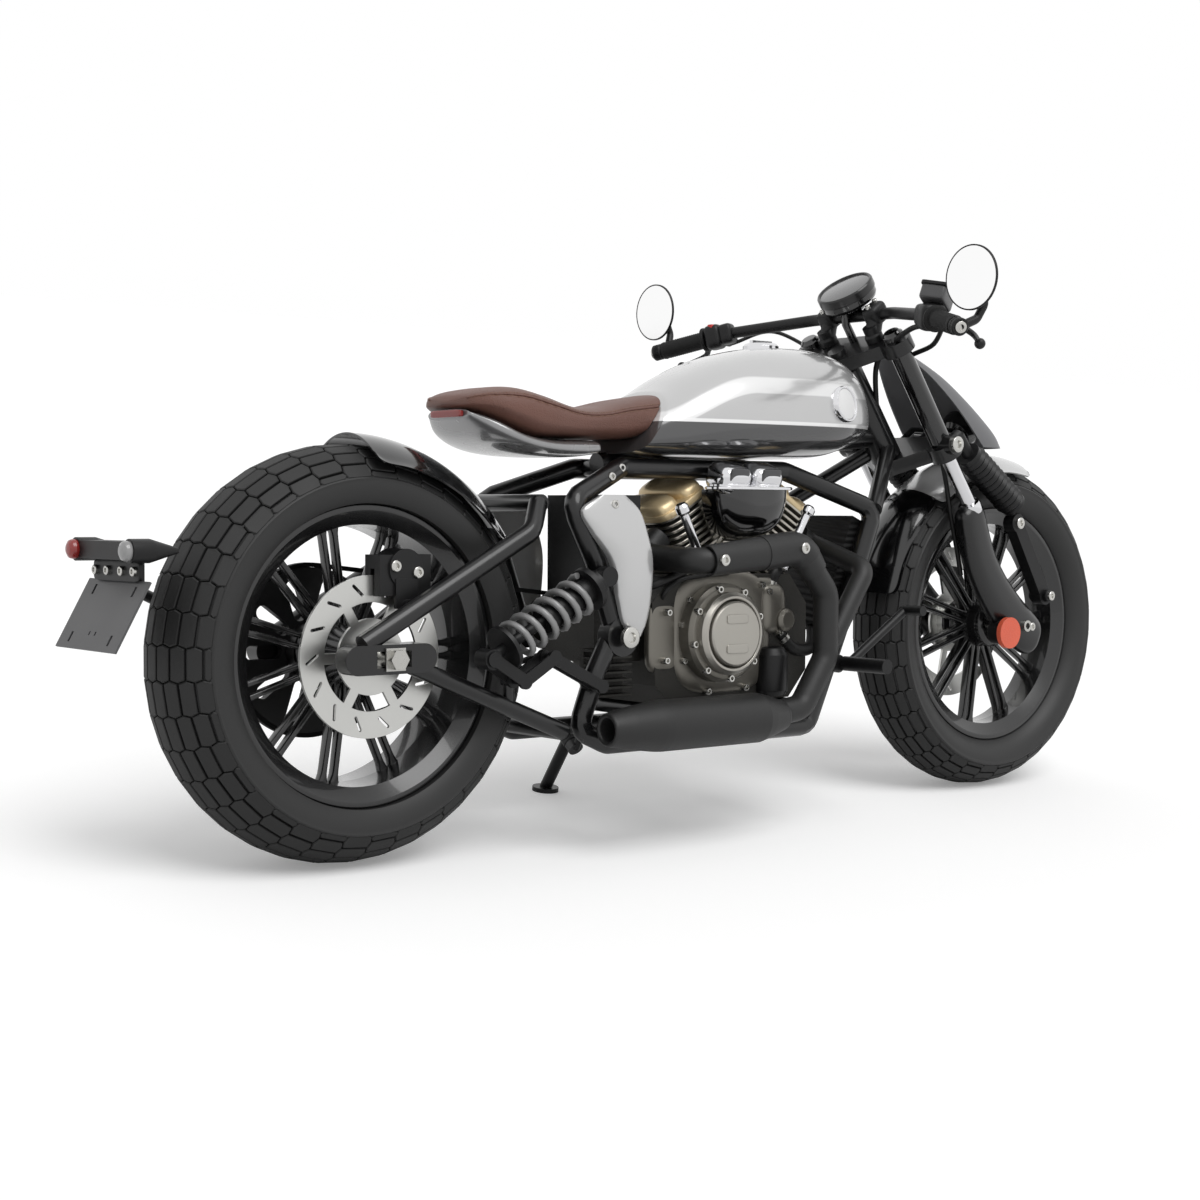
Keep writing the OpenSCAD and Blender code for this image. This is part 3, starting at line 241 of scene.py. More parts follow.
def spun(profile, centre_x, steps=128):
    """A closed section (radius, across) carried round the axle at centre_x."""
    turn = np.linspace(0, 2 * np.pi, steps, endpoint=False)[:, None]
    radius, across = profile[:, 0][None], profile[:, 1][None]
    return np.stack([centre_x + radius * np.cos(turn), across + 0 * turn,
                     tyre_radius + radius * np.sin(turn)], -1)


def tread_blocks(centre_x, crown, edge):
    """Hexagonal blocks on the crown: each outline is scaled about its centre at the foot, the
    shoulder and the top, and wrapped so that one axis is the crown's angle and the other the
    turn round the wheel. Odd rows are shifted by half a block."""
    crown_c = tyre_radius - crown
    span = 2 * edge
    wide = span / 8
    pitch = 2 * np.pi / tread_rows
    outline = np.array([[-1, 0], [-0.86, -1], [0.86, -1], [1, 0], [0.86, 1], [-0.86, 1]])
    centres, widths, rows = [], [], []
    for row in range(tread_rows):
        if row % 2:
            mids = np.concatenate([(np.arange(7) - 3) * wide, [-3.75 * wide, 3.75 * wide]])
            sizes = np.array([1.0] * 7 + [0.5] * 2)
        else:
            mids, sizes = (np.arange(8) - 3.5) * wide, np.ones(8)
        centres.append(mids)
        widths.append(sizes)
        rows.append(np.full(len(mids), row))
    mid, size, row = (np.concatenate(k) for k in (centres, widths, rows))
    gap_turn, gap_across = block_gap / tyre_radius, block_gap / crown
    levels = [(0.0, 1.04), (0.8, 1.0), (1.0, 0.93)]
    rings = []
    for rise, scale in levels:
        half_turn = (pitch * 0.56 - gap_turn / 2) * scale
        half_across = (wide * size - gap_across) / 2 * scale
        phi = mid[:, None] + outline[None, :, 1] * half_across[:, None]
        turn = (row * pitch)[:, None] + outline[None, :, 0] * half_turn
        depth = crown - tread_depth * 1.1 * (1 - rise)
        radius = crown_c + depth * np.cos(phi)
        rings.append(np.stack([centre_x + radius * np.cos(turn), depth * np.sin(phi),
                               tyre_radius + radius * np.sin(turn)], -1))
    grid = np.stack(rings, 1)
    return [sheet_of(block) for block in grid]


for side_name, centre_x, half, crown, side_r, side_c, rim_half in (
        ("rear", 0.0, 88.0, rear_crown, 62.0, 262.0, 71.0),
        ("front", wheelbase, 67.5, front_crown, 46.0, 270.0, 46.0)):
    section, edge = carcass_profile(half, crown, side_r, side_c, rim_half)
    whole = np.vstack([section, section[-2:0:-1] * [1, -1]])
    wheel = side_name + "_wheel"
    carcass = piece(side_name + "_tyre_carcass",
                    [sheet_of(spun(whole, centre_x), round_rows=True)],
                    sidewall_rubber, wheel)
    blocks = piece(side_name + "_tyre_blocks", tread_blocks(centre_x, crown, edge),
                   tread_rubber, wheel, smooth=False)
    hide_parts(side_name + "_tyre")

# Wheels, brakes and belt drive. The rims are cast aluminium under gloss black enamel, the
# discs ground stainless steel, the belt toothed rubber round a black pulley.
wheel_enamel = finish("gloss black wheel enamel", "#0c0c0d", 0.24, grain=1.2, bump=0.03,
                      coat=0.5, mottle=0.1)
ground_steel = finish("ground stainless brake steel", "#c9c9c6", 0.3, metallic=1.0, grain=0.5,
                      bump=0.08, mottle=0.05)
satin_black = finish("satin black powder coat", "#0e0e0f", 0.42, grain=0.9, bump=0.12,
                     mottle=0.15, specular=0.35)
frame_black = finish("semi-gloss black frame enamel", "#0c0c0d", 0.3, grain=1.2, bump=0.05,
                     coat=0.3, mottle=0.12, specular=0.4)
belt_rubber = finish("ribbed belt rubber", "#141414", 0.7, grain=1.0, bump=0.3, specular=0.2)
zinc_steel = finish("zinc-plated steel", "#b9b8b4", 0.28, metallic=1.0, grain=0.8, bump=0.06)
dress(ground_steel, "rear_disc", "front_disc")
dress(satin_black, "drive_pulley", "rear_caliper", "front_caliper", "foot_controls",
      "plate_carrier", "side_stand", "rocker_links", "rear_shock", "fork_shocks",
      "battery_box")
dress(frame_black, "frame", "swingarm", "yokes")
dress(belt_rubber, "drive_belt")
dress(zinc_steel, "rear_axle", "front_axle")

# Spring of the rear shock. Its coil is cold-wound steel under a grey powder coat.
spring_coat = finish("grey powder-coated spring steel", "#8b8b8b", 0.4, metallic=0.3, grain=0.8,
                     bump=0.1)
dress(spring_coat, "rear_spring", crease=50)

# Bodywork. The tank, side covers and front fender are pressed steel in silver lacquer, the
# seat pan in grey lacquer and the rear fender in gloss black.
silver_lacquer = finish("silver metallic lacquer", "#c4c4c4", 0.22, metallic=0.45, grain=0.5,
                        bump=0.02, coat=0.8, mottle=0.05, patch=200)
grey_lacquer = finish("grey metallic lacquer", "#8f8f90", 0.26, metallic=0.5, grain=0.5,
                      bump=0.02, coat=0.8, mottle=0.06)
gloss_lacquer = finish("gloss black lacquer", "#070708", 0.14, grain=1.0, bump=0.01, coat=0.7,
                       mottle=0.06)


def unit(vector):
    """A vector, or rows of vectors, at length 1."""
    vector = np.asarray(vector, float)
    return vector / np.linalg.norm(vector, axis=-1, keepdims=True)


def through(points, count):
    """count points on the Catmull-Rom curve through the given ones: each stretch is the cubic
    whose slopes at its ends are half the step between the two neighbours."""
    points = np.asarray(points, float)
    points = np.vstack([2 * points[0] - points[1], points, 2 * points[-1] - points[-2]])
    place = np.linspace(0, len(points) - 3 - 1e-9, count)
    first = place.astype(int)
    t = (place - first)[:, None]
    a, b, c, d = (points[first + k] for k in range(4))
    return 0.5 * (2 * b + (c - a) * t + (2 * a - 5 * b + 4 * c - d) * t ** 2
                  + (3 * b - a - 3 * c + d) * t ** 3)


def bent(points, radius, steps=8):
    """A line with its corners rounded: each corner's two straight runs are cut back by the
    bend's tangent length, and a quadratic arc joins the two cuts."""
    points = np.asarray(points, float)
    line = [points[:1]]
    for before, corner, after in zip(points[:-2], points[1:-1], points[2:]):
        back, on = unit(before - corner), unit(after - corner)
        half = max(0.5 * math.acos(np.clip(back @ on, -1, 1)), 0.05)
        room = 0.49 * min(np.linalg.norm(before - corner), np.linalg.norm(after - corner))
        cut = min(radius / math.tan(half), room)
        t = np.linspace(0, 1, steps)[:, None]
        line.append((1 - t) ** 2 * (corner + back * cut) + 2 * t * (1 - t) * corner
                    + t ** 2 * (corner + on * cut))
    line.append(points[-1:])
    return np.vstack(line)


def powered(value, power):
    """A sine or cosine raised to a power with its sign kept: the superellipse's term."""
    return np.sign(value) * np.abs(value) ** power


def body_rings(table, half, power, zone, count, around, cut=None):
    """Rings of a long body from a table of [x, share of the half width, top, bottom], read
    along its Catmull-Rom curve. Each ring is y = half cos^power, z = widest height plus
    sin^power of what lies above or below it. With cut, a function of z that gives x, the first
    ring lies on that slanted plane and the others spread from it to the last."""
    rows = through(table, count)
    turn = np.linspace(0, 2 * np.pi, around, endpoint=False)[None]
    x, share, top, bottom = rows.T[:, :, None]
    if cut is not None:
        spread = np.linspace(0, 1, count)[:, None]
        near, far = x[0, 0], x[-1, 0]
        x = near + (far - near) * spread + 0 * turn
        for _ in range(12):
            share, top, bottom = (np.interp(x, rows[:, 0], rows[:, k]) for k in (1, 2, 3))
            widest = bottom + (top - bottom) * zone
            rise = powered(np.sin(turn), power)
            z = widest + np.where(rise > 0, top - widest, widest - bottom) * rise
            x = cut(z) * (1 - spread) + far * spread
    widest = bottom + (top - bottom) * zone
    rise = powered(np.sin(turn), power)
    z = widest + np.where(rise > 0, top - widest, widest - bottom) * rise
    y = half * share * powered(np.cos(turn), power)
    return np.stack(np.broadcast_arrays(x, y, z), -1)


def mirrored(sheets):
    """The sheets and their copies across the middle plane."""
    return sheets + [(verts * [1, -1, 1], faces) for verts, faces in sheets]


def fender(centre_x, crown, gap, half, first, last, corner=6.0):
    """A fender's shell: an arc about the tyre's crown centre, of radius crown + gap and a
    wall outside it, carried about the axle from the first angle to the last. Its half angle
    narrows as the fourth root of a circle over the corner angle at each end."""
    turn = np.radians(np.linspace(first, last, 90))
    near = np.minimum(turn - turn[0], turn[-1] - turn) / math.radians(corner)
    round_off = (1 - np.clip(1 - near, 0, 1) ** 2.6) ** 0.4
    reach = math.asin(half / (crown + gap + 4)) * (0.80 + 0.20 * round_off)
    across = np.linspace(-1, 1, 41)
    across = np.concatenate([across, across[::-1]])
    wall = np.repeat([gap + 4.0, gap + 0.6], 41)
    lip = 2.2 * np.clip((np.abs(across) - 0.93) / 0.07, 0, 1)
    phi = across[None] * reach[:, None]
    depth = crown + (wall + lip)[None]
    radius = tyre_radius - crown + depth * np.cos(phi)
    return sheet_of(np.stack([centre_x + radius * np.cos(turn)[:, None], depth * np.sin(phi),
                              tyre_radius + radius * np.sin(turn)[:, None]], -1))


rear_shell = piece("rear_fender_shell",
                   [fender(0.0, rear_crown, 14, 96, 35, 89)], gloss_lacquer, "chassis")
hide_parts("rear_fender")
front_shell = piece("front_fender_shell",
                    [fender(wheelbase, front_crown, 12, 73, 75, 128, corner=4.0)],
                    silver_lacquer, "fork")
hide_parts("front_fender")
mud_shell = piece("front_mud_shell",
                  [fender(wheelbase, front_crown, 12, 66, 128.1, 168)], gloss_lacquer, "fork")
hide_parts("fender_extension")

# Fuel tank. Deep-drawn steel in silver lacquer with a dark grey band along its foot, a white
# coach line over the band and a paler sweep above it, all under one clear coat.
tank_table = [[508, 0.74, 690, 636], [560, 0.79, 722, 632], [610, 0.84, 746, 630],
              [670, 0.90, 779, 630], [740, 0.96, 807, 630], [830, 1.00, 828, 632],
              [920, 1.00, 834, 634], [980, 0.95, 831, 638], [1020, 0.86, 822, 648],
              [1046, 0.78, 806, 656], [1066, 0.68, 780, 664], [1086, 0.52, 757, 674],
              [1098, 0.34, 738, 684]]
tank_half = 135.0


def joint_x(z):
    """Forward edge of the slanted joint between seat and tank at a height."""
    return 520 + (np.asarray(z, float) - 640) * 76 / 95


def rounded_nose(rings, last=8):
    """Draws the last rings in towards their middle by a quarter circle, so that the end is
    domed and not cut off."""
    shrink = np.ones(len(rings))
    turn = np.linspace(0, 0.97, last)
    shrink[-last:] = np.sqrt(1 - turn ** 2)
    middle = rings.mean(axis=1, keepdims=True)
    return middle + (rings - middle) * shrink[:, None, None]


tank_rings = body_rings(tank_table, tank_half, 0.8, 0.34, 110, 96,
                        cut=lambda z: joint_x(z) + 0.6)
tank_paint = finish("silver lacquer with dark foot band", "#c4c4c4", 0.2, metallic=0.4,
                    grain=0.5, bump=0.02, coat=0.9, mottle=0.04, patch=220)
paint_tree = tank_paint.node_tree
paint_place = add(paint_tree, "ShaderNodeUVMap", uv_map="upright")
paint_axes = add(paint_tree, "ShaderNodeSeparateXYZ", [(0, paint_place.outputs[0])])
along, height = paint_axes.outputs["X"], paint_axes.outputs["Y"]
# The band's upper edge drops in a quarter round at its rear end
rear_fall = add(paint_tree, "ShaderNodeMapRange", [("Value", along)], interpolation_type="SMOOTHSTEP",
                From_Min=0.520, From_Max=0.545, To_Min=0.045, To_Max=0.0)
level_height = add(paint_tree, "ShaderNodeMath", [(0, height), (1, rear_fall.outputs[0])],
                   operation="ADD")
band_mask = add(paint_tree, "ShaderNodeMapRange", [("Value", level_height.outputs[0])],
                From_Min=0.6895, From_Max=0.6905, To_Min=1.0, To_Max=0.0)
line_mask = add(paint_tree, "ShaderNodeMapRange", [("Value", level_height.outputs[0])],
                From_Min=0.6955, From_Max=0.6965, To_Min=1.0, To_Max=0.0)
rise = add(paint_tree, "ShaderNodeMapRange", [("Value", along)], interpolation_type="SMOOTHSTEP",
           From_Min=0.53, From_Max=0.76, To_Min=0.072, To_Max=0.0)
sweep_height = add(paint_tree, "ShaderNodeMath", [(0, height), (1, rise.outputs[0])],
                   operation="ADD")
sweep_low = add(paint_tree, "ShaderNodeMapRange", [("Value", sweep_height.outputs[0])],
                From_Min=0.742, From_Max=0.744, To_Min=0.0, To_Max=1.0)
sweep_high = add(paint_tree, "ShaderNodeMapRange", [("Value", sweep_height.outputs[0])],
                 From_Min=0.770, From_Max=0.773, To_Min=1.0, To_Max=0.0)
sweep_mask = add(paint_tree, "ShaderNodeMath", [(0, sweep_low.outputs[0]),
                                               (1, sweep_high.outputs[0])],
                 operation="MULTIPLY")
paint_base = paint_tree.nodes["Principled BSDF"].inputs["Base Color"].links[0].from_socket
layers = paint_base
for mask, shade in ((sweep_mask, "#ececec"), (line_mask, "#f4f4f4"), (band_mask, "#4c4c4d")):
    coat_layer = add(paint_tree, "ShaderNodeMix", [("Factor", mask.outputs[0])],
                     data_type="RGBA")
    paint_tree.links.new(layers, coat_layer.inputs[6])
    coat_layer.inputs[7].default_value = hex_colour(shade)
    layers = coat_layer.outputs[2]
paint_tree.links.new(layers, paint_tree.nodes["Principled BSDF"].inputs["Base Color"])
tank = piece("tank_shell", [sheet_of(rounded_nose(tank_rings))], tank_paint, "chassis",
             sharp=50, uv=lambda points: points[:, [0, 2]] / 1000)
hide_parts("fuel_tank")


def turned(profile, foot, axis, sides=48):
    """A section of (radius, height) turned about an axis: each point is the foot, plus height
    times the axis, plus radius times a unit vector that goes round it."""
    profile = np.asarray(profile, float)
    along_axis = unit(axis)
    start = [0, 0, 1] if abs(along_axis[2]) < 0.9 else [1, 0, 0]
    side = unit(np.cross(along_axis, start))
    other = np.cross(along_axis, side)
    turn = np.linspace(0, 2 * np.pi, sides, endpoint=False)[:, None]
    ring = np.cos(turn) * side + np.sin(turn) * other
    grid = (np.asarray(foot, float) + profile[:, 1, None, None] * along_axis
            + profile[:, 0, None, None] * ring[None])
    return sheet_of(grid)


# Wheels. Each is one aluminium casting in gloss black: a well between two lips, eleven pairs
# of slim spokes that leave the hub side by side, and a turned hub.
spoke_pairs = 11
lip_radius = 229.0
rim_floor = lip_radius - 17.3


def spoke_bar(inner, outer, offset, wide, deep, angle, centre_x):
    """One spoke: superellipse rings that run out along the radius at a sideways offset, with
    half width and half depth blended from the hub's to the rim's and a flare at each end."""
    out = np.linspace(0, 1, 22)
    flare = 1 + 0.9 * (np.clip(0.14 - out, 0, 1) / 0.14) ** 2 + 1.1 * (
        np.clip(out - 0.86, 0, 1) / 0.14) ** 2
    half_wide = (wide[0] + (wide[1] - wide[0]) * out) * flare
    half_deep = deep[0] + (deep[1] - deep[0]) * out
    turn = np.linspace(0, 2 * np.pi, 20, endpoint=False)[None]
    radius = (inner + (outer - inner) * out)[:, None] + 0 * turn
    sideways = (offset[0] + (offset[1] - offset[0]) * out)[:, None] + half_wide[
        :, None] * powered(np.cos(turn), 0.5)
    across = half_deep[:, None] * powered(np.sin(turn), 0.5)
    return sheet_of(np.stack([
        centre_x + radius * math.cos(angle) - sideways * math.sin(angle), across,
        tyre_radius + radius * math.sin(angle) + sideways * math.cos(angle)], -1))


for side_name, centre_x, half, hub_half, axle_hole in (("rear", 0.0, 71.0, 70.0, 12.1),
                                                       ("front", wheelbase, 46.0, 52.0, 11.1)):
    well = [(lip_radius - 31, 14 - half), (lip_radius - 9, -half), (lip_radius, -half),
            (lip_radius, 7 - half), (rim_floor, 9 - half), (rim_floor - 6, 24 - half),
            (rim_floor - 6, half - 24), (rim_floor, half - 9), (lip_radius, half - 7),
            (lip_radius, half), (lip_radius - 9, half), (lip_radius - 31, half - 14),
            (lip_radius - 33, 0)]
    well_ring = turned(bent(well + well[:1], 2.5, 4)[:-1], [centre_x, 0, tyre_radius],
                       [0, 1, 0], 144)
    steps, around_rim = len(well_ring[0]) // 144, 144
    rim_grid = well_ring[0].reshape(steps, around_rim, 3)
    hub_profile = bent([(axle_hole, -hub_half), (38, -hub_half), (46, 8 - hub_half),
                        (40, 20 - hub_half), (46, -16), (46, 16), (40, hub_half - 20),
                        (46, hub_half - 8), (38, hub_half), (axle_hole, hub_half)], 4)
    hub_ring = turned(hub_profile, [centre_x, 0, tyre_radius], [0, 1, 0], 72)
    hub_grid = hub_ring[0].reshape(-1, 72, 3)
    castings = [sheet_of(rim_grid, round_rows=True), sheet_of(hub_grid, round_rows=True)]
    for pair in range(spoke_pairs):
        angle = 2 * math.pi * pair / spoke_pairs
        for way in (-1, 1):
            castings.append(spoke_bar(40, lip_radius - 29, (way * 8.0, way * 10.5), (4.2, 4.8),
                                      (11.0, 8.0), angle, centre_x))
    casting = piece(side_name + "_wheel_casting", castings, wheel_enamel, side_name + "_wheel",
                    sharp=40)
    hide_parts(side_name + "_rim")


chrome = finish("chromed steel", "#dedee0", 0.07, metallic=1.0, grain=2.0, bump=0.01,
                mottle=0.03, edge=0.5)
badge_enamel = finish("pale badge enamel", "#e6e6e6", 0.2, metallic=0.2, grain=1.0, bump=0.02,
                      coat=0.6)
badge_out = unit([0.19, -0.96, 0.17])
badge_at = np.array([962.0, -129.0, 731.0])
badge_face = [(27.5, -6), (27.5, 5.2), (25, 5.8), (0.5, 6.4)]
badge_rim = [(33, -12), (33, 4.5), (31.5, 7.2), (29, 7.2), (27.6, 5.2), (27, -12)]
badge_ring = piece("tank_badge_rings", mirrored([turned(badge_rim, badge_at, badge_out)]),
                   chrome, "chassis")
badge_disc = piece("tank_badge_discs", mirrored([turned(badge_face, badge_at, badge_out)]),
                   badge_enamel, "chassis")
dress(chrome, "tank_trim")

# Seat. Brown leather stitched over moulded foam on a steel pan: a crowned top panel joined to
# the side panels by a piped seam with a line of stitches on each side of it.
seat_table = [[190, 0.35, 716, 704], [204, 0.62, 725, 700], [232, 0.84, 733, 692],
              [278, 0.97, 738, 672], [330, 1.00, 729, 658], [400, 0.92, 712, 658],
              [464, 0.80, 713, 658], [530, 0.70, 727, 658], [600, 0.66, 738, 660]]
seat_half = 115.0
leather = finish("brown seat leather", "#6b4a40", 0.46, grain=2.4, bump=0.35, mottle=0.14,
                 patch=80, specular=0.4, cells=True)
thread = finish("waxed brown thread", "#8a6a58", 0.6, grain=0.8, bump=0.3)
seam_turn = math.radians(27)
seat_around = 128
turned_seat = body_rings(seat_table, seat_half, 0.7, 0.35, 120, seat_around,
                         cut=None)
beyond = joint_x(turned_seat[:, :, 2]) - 0.6
seat_turn = np.linspace(0, 2 * np.pi, seat_around, endpoint=False)
# Rings behind the joint keep their place, and those that would pass it spread along it
span = turned_seat[:, :, 0]
reach = (span - span[0, 0]) / (span[-1, 0] - span[0, 0])
turned_seat[:, :, 0] = span[0, 0] + reach * (beyond[-1][None] - span[0, 0])
centre = turned_seat.mean(axis=1, keepdims=True)
outward = unit(turned_seat - centre)
from_seam = np.abs(np.abs(np.angle(np.exp(1j * (seat_turn - np.pi / 2)))) - (np.pi / 2 - seam_turn))
groove = 2.4 * np.exp(-(from_seam / 0.045) ** 2)
pucker = 0.5 * np.exp(-(from_seam / 0.16) ** 2)[None] * np.sin(
    turned_seat[:, :, 0] * 2 * np.pi / 17)
turned_seat = turned_seat - outward * (groove[None] + pucker + 0.8)[..., None]
seat = piece("seat_cushion", [sheet_of(rounded_nose(turned_seat[::-1], 10)[::-1])], leather,
             "chassis", sharp=60)
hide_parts("seat")
seam_line = body_rings(seat_table, seat_half, 0.7, 0.35, 120, 360)


def seam_at(degrees, lifted):
    """Line along the seat at an angle round its rings, lifted from them by a distance."""
    rings = seam_line.copy()
    rings[:, :, 0] = rings[0, 0, 0] + (rings[:, :, 0] - rings[0, 0, 0]) / (
        rings[-1, 0, 0] - rings[0, 0, 0]) * (joint_x(rings[-1, :, 2])[None] - rings[0, 0, 0])
    middle = rings.mean(axis=1, keepdims=True)
    rings = rings + unit(rings - middle) * lifted
    return rings[8:-1, int(round(degrees))]


def tube(line, radius, sides=16):
    """A round tube: circles of the given radius, one number or one for each point, carried
    along a line on frames that turn as little as they can."""
    line = np.asarray(line, float)
    ahead = unit(np.gradient(line, axis=0))
    start = [0, 0, 1] if abs(ahead[0, 2]) < 0.9 else [0, 1, 0]
    normal = unit(np.cross(ahead[0], start))
    normals = []
    for direction in ahead:
        normal = unit(normal - direction * (normal @ direction))
        normals.append(normal)
    normals = np.array(normals)
    others = np.cross(ahead, normals)
    turn = np.linspace(0, 2 * np.pi, sides, endpoint=False)[None, :, None]
    radius = np.broadcast_to(np.asarray(radius, float), len(line))[:, None, None]
    return sheet_of(line[:, None] + radius * (np.cos(turn) * normals[:, None]
                                              + np.sin(turn) * others[:, None]))


piping = piece("seat_piping", mirrored([tube(seam_at(math.degrees(seam_turn), -0.9), 1.9, 10)]),
               leather, "chassis")


def stitches(line, pitch=6.0, length=4.2, radius=0.7):
    """Short thread lozenges along a line, one for each pitch of its length."""
    step = np.linalg.norm(np.diff(line, axis=0), axis=1)
    place = np.concatenate([[0], np.cumsum(step)])
    at = np.arange(pitch, place[-1], pitch)
    ends = [np.stack([np.interp(at + shift, place, line[:, k]) for k in range(3)], 1)
            for shift in (-length / 2, length / 2)]
    sheets = []
    for a, b in zip(*ends):
        sheets.append(tube(np.stack([a, a + (b - a) * 0.2, b - (b - a) * 0.2, b]),
                           [radius * 0.3, radius, radius, radius * 0.3], 5))
    return sheets


seam_degrees = math.degrees(seam_turn)
stitching = piece("seat_stitching", mirrored(stitches(seam_at(seam_degrees + 7, -0.6))
                                             + stitches(seam_at(seam_degrees - 6, -0.6))),
                  thread, "chassis")

# Seat pan. A pressed steel tray under the cushion, in grey lacquer.
pan_table = [[198, 0.50, 699, 684], [232, 0.78, 688, 656], [278, 0.92, 666, 638],
             [330, 0.95, 657, 629], [400, 0.88, 657, 627], [450, 0.76, 657, 632]]
pan_rings = body_rings(pan_table, seat_half, 0.7, 0.4, 70, 80)
pan = piece("seat_pan_shell", [sheet_of(rounded_nose(pan_rings, 6))], grey_lacquer, "chassis",
            sharp=50)
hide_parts("seat_pan")

# Side covers. Domed steel panels in silver lacquer below the seat, each held by two screws.
cover_table = [[337, 455, 474, 4], [362, 436, 486, 9], [400, 424, 494, 13],
               [461, 408, 497, 15], [505, 372, 486, 14], [541, 352, 470, 10],
               [566, 392, 440, 3]]
cover_rows = through(cover_table, 60)
cover_inner = 142.3
cover_turn = np.linspace(0, np.pi, 33)
cover_middle = (cover_rows[:, 1] + cover_rows[:, 2])[:, None] / 2
cover_half = (cover_rows[:, 2] - cover_rows[:, 1])[:, None] / 2
dome_x = cover_middle + cover_half * np.cos(cover_turn)
dome_y = cover_inner + 4 + cover_rows[:, 3, None] * powered(np.sin(cover_turn), 0.7)
base_x = np.hstack([cover_middle - cover_half, cover_middle + cover_half])
cover_grid = np.stack([np.hstack([dome_x, base_x]),
                       np.hstack([dome_y, np.full_like(base_x, cover_inner)]),
                       np.repeat(cover_rows[:, :1], 35, axis=1)], -1)
side_shells = piece("side_cover_shells", mirrored([sheet_of(cover_grid)]), silver_lacquer,
                    "chassis", sharp=50)
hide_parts("side_covers")

# Crankcase, radiator and rectifier. Sand-cast aluminium in dark grey; the radiator is a
# black core of flat tubes with fine fins between them.
cast_dark = finish("dark cast aluminium", "#2b2a27", 0.5, metallic=0.5, grain=1.6, bump=0.4,
                   mottle=0.2)
dress(cast_dark, "crankcase", "rectifier")
core_black = finish("black radiator core", "#141414", 0.6, metallic=0.3, grain=4.0, bump=0.3)
core_tree = core_black.node_tree
core_place = add(core_tree, "ShaderNodeTexCoord").outputs["Object"]
tubes_wave = add(core_tree, "ShaderNodeTexWave", [("Vector", core_place)], bands_direction="Z",
                 Scale=28.0)
core_bump = add(core_tree, "ShaderNodeBump", [("Height", tubes_wave.outputs["Fac"])],
                Strength=0.9, Distance=0.003)
core_tree.links.new(core_bump.outputs["Normal"],
                    core_tree.nodes["Principled BSDF"].inputs["Normal"])
dress(core_black, "radiator")

# Cylinders. Cast aluminium barrels and heads in black with their fin edges milled bare: each
# fin is a rounded square plate with a bright band round its edge.
crank_at = np.array([770.0, 0.0, 330.0])
bank_lean = math.radians(30)
fin_black = finish("black barrel enamel", "#0e0e0e", 0.45, grain=1.2, bump=0.2, specular=0.3)
fin_silver = finish("milled fin aluminium", "#b8b4aa", 0.3, metallic=0.95, grain=0.7, bump=0.12)
anodised_gold = finish("gold anodised aluminium", "#e0caa0", 0.34, metallic=0.4, grain=0.9,
                       bump=0.06, mottle=0.07)


def plate_rings(profile, side, half_x, half_y, base, power=0.45, sides=56, shift=0.0):
    """A rounded square plate across a cylinder's axis: superellipse rings of the given half
    sizes times the profile's share, at base plus the profile's height up the axis."""
    profile = np.asarray(profile, float)
    turn = np.linspace(0, 2 * np.pi, sides, endpoint=False)[None]
    local_x = shift + profile[:, :1] * half_x * powered(np.cos(turn), power)
    local_y = profile[:, :1] * half_y * powered(np.sin(turn), power)
    up = base + profile[:, 1:] + 0 * turn
    tilt = side * bank_lean
    return np.stack([crank_at[0] + local_x * math.cos(tilt) + up * math.sin(tilt), local_y,
                     crank_at[2] - local_x * math.sin(tilt) + up * math.cos(tilt)], -1)


plates, bands, rockers = [], [], []
fin_pitch = 11.67
for side in (-1, 1):
    plates.append(sheet_of(plate_rings([(0.82, 0), (0.82, 152)], side, 60, 68, 100)))
    for level in range(14):
        half_x, half_y = (60.0, 70.0) if level < 9 else (57.0, 74.0)
        base = 96 + level * fin_pitch
        plates.append(sheet_of(plate_rings([(0.7, 0.3), (0.975, 0.3), (0.975, 4.9), (0.7, 4.9)],
                                           side, half_x, half_y, base)))
        bands.append(sheet_of(plate_rings([(0.955, 0), (0.99, 0), (1, 0.8), (1, 4.4),
                                           (0.99, 5.2), (0.955, 5.2)], side, half_x, half_y,
                                          base)))
    rockers.append(sheet_of(plate_rings([(0.9, 0), (0.985, 0), (1, 1.5), (1, 9), (0.985, 11),
                                         (0.9, 11.5)], side, 59, 75, 252, power=0.4)))
    for hump in (-30.0, 30.0):
        dome = [(1.0, 0), (1.0, 8), (0.985, 13), (0.93, 19), (0.82, 23.5), (0.62, 26),
                (0.3, 27.2), (0.02, 27.5)]
        rockers.append(sheet_of(plate_rings(dome, side, 28, 66, 257, power=0.55, shift=hump)))
fins = piece("cylinder_fins", plates, fin_black, "chassis")
edges = piece("fin_edges", bands, fin_silver, "chassis")
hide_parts("cylinders")
covers = piece("rocker_covers", rockers, anodised_gold, "chassis", sharp=40)
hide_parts("head_covers")

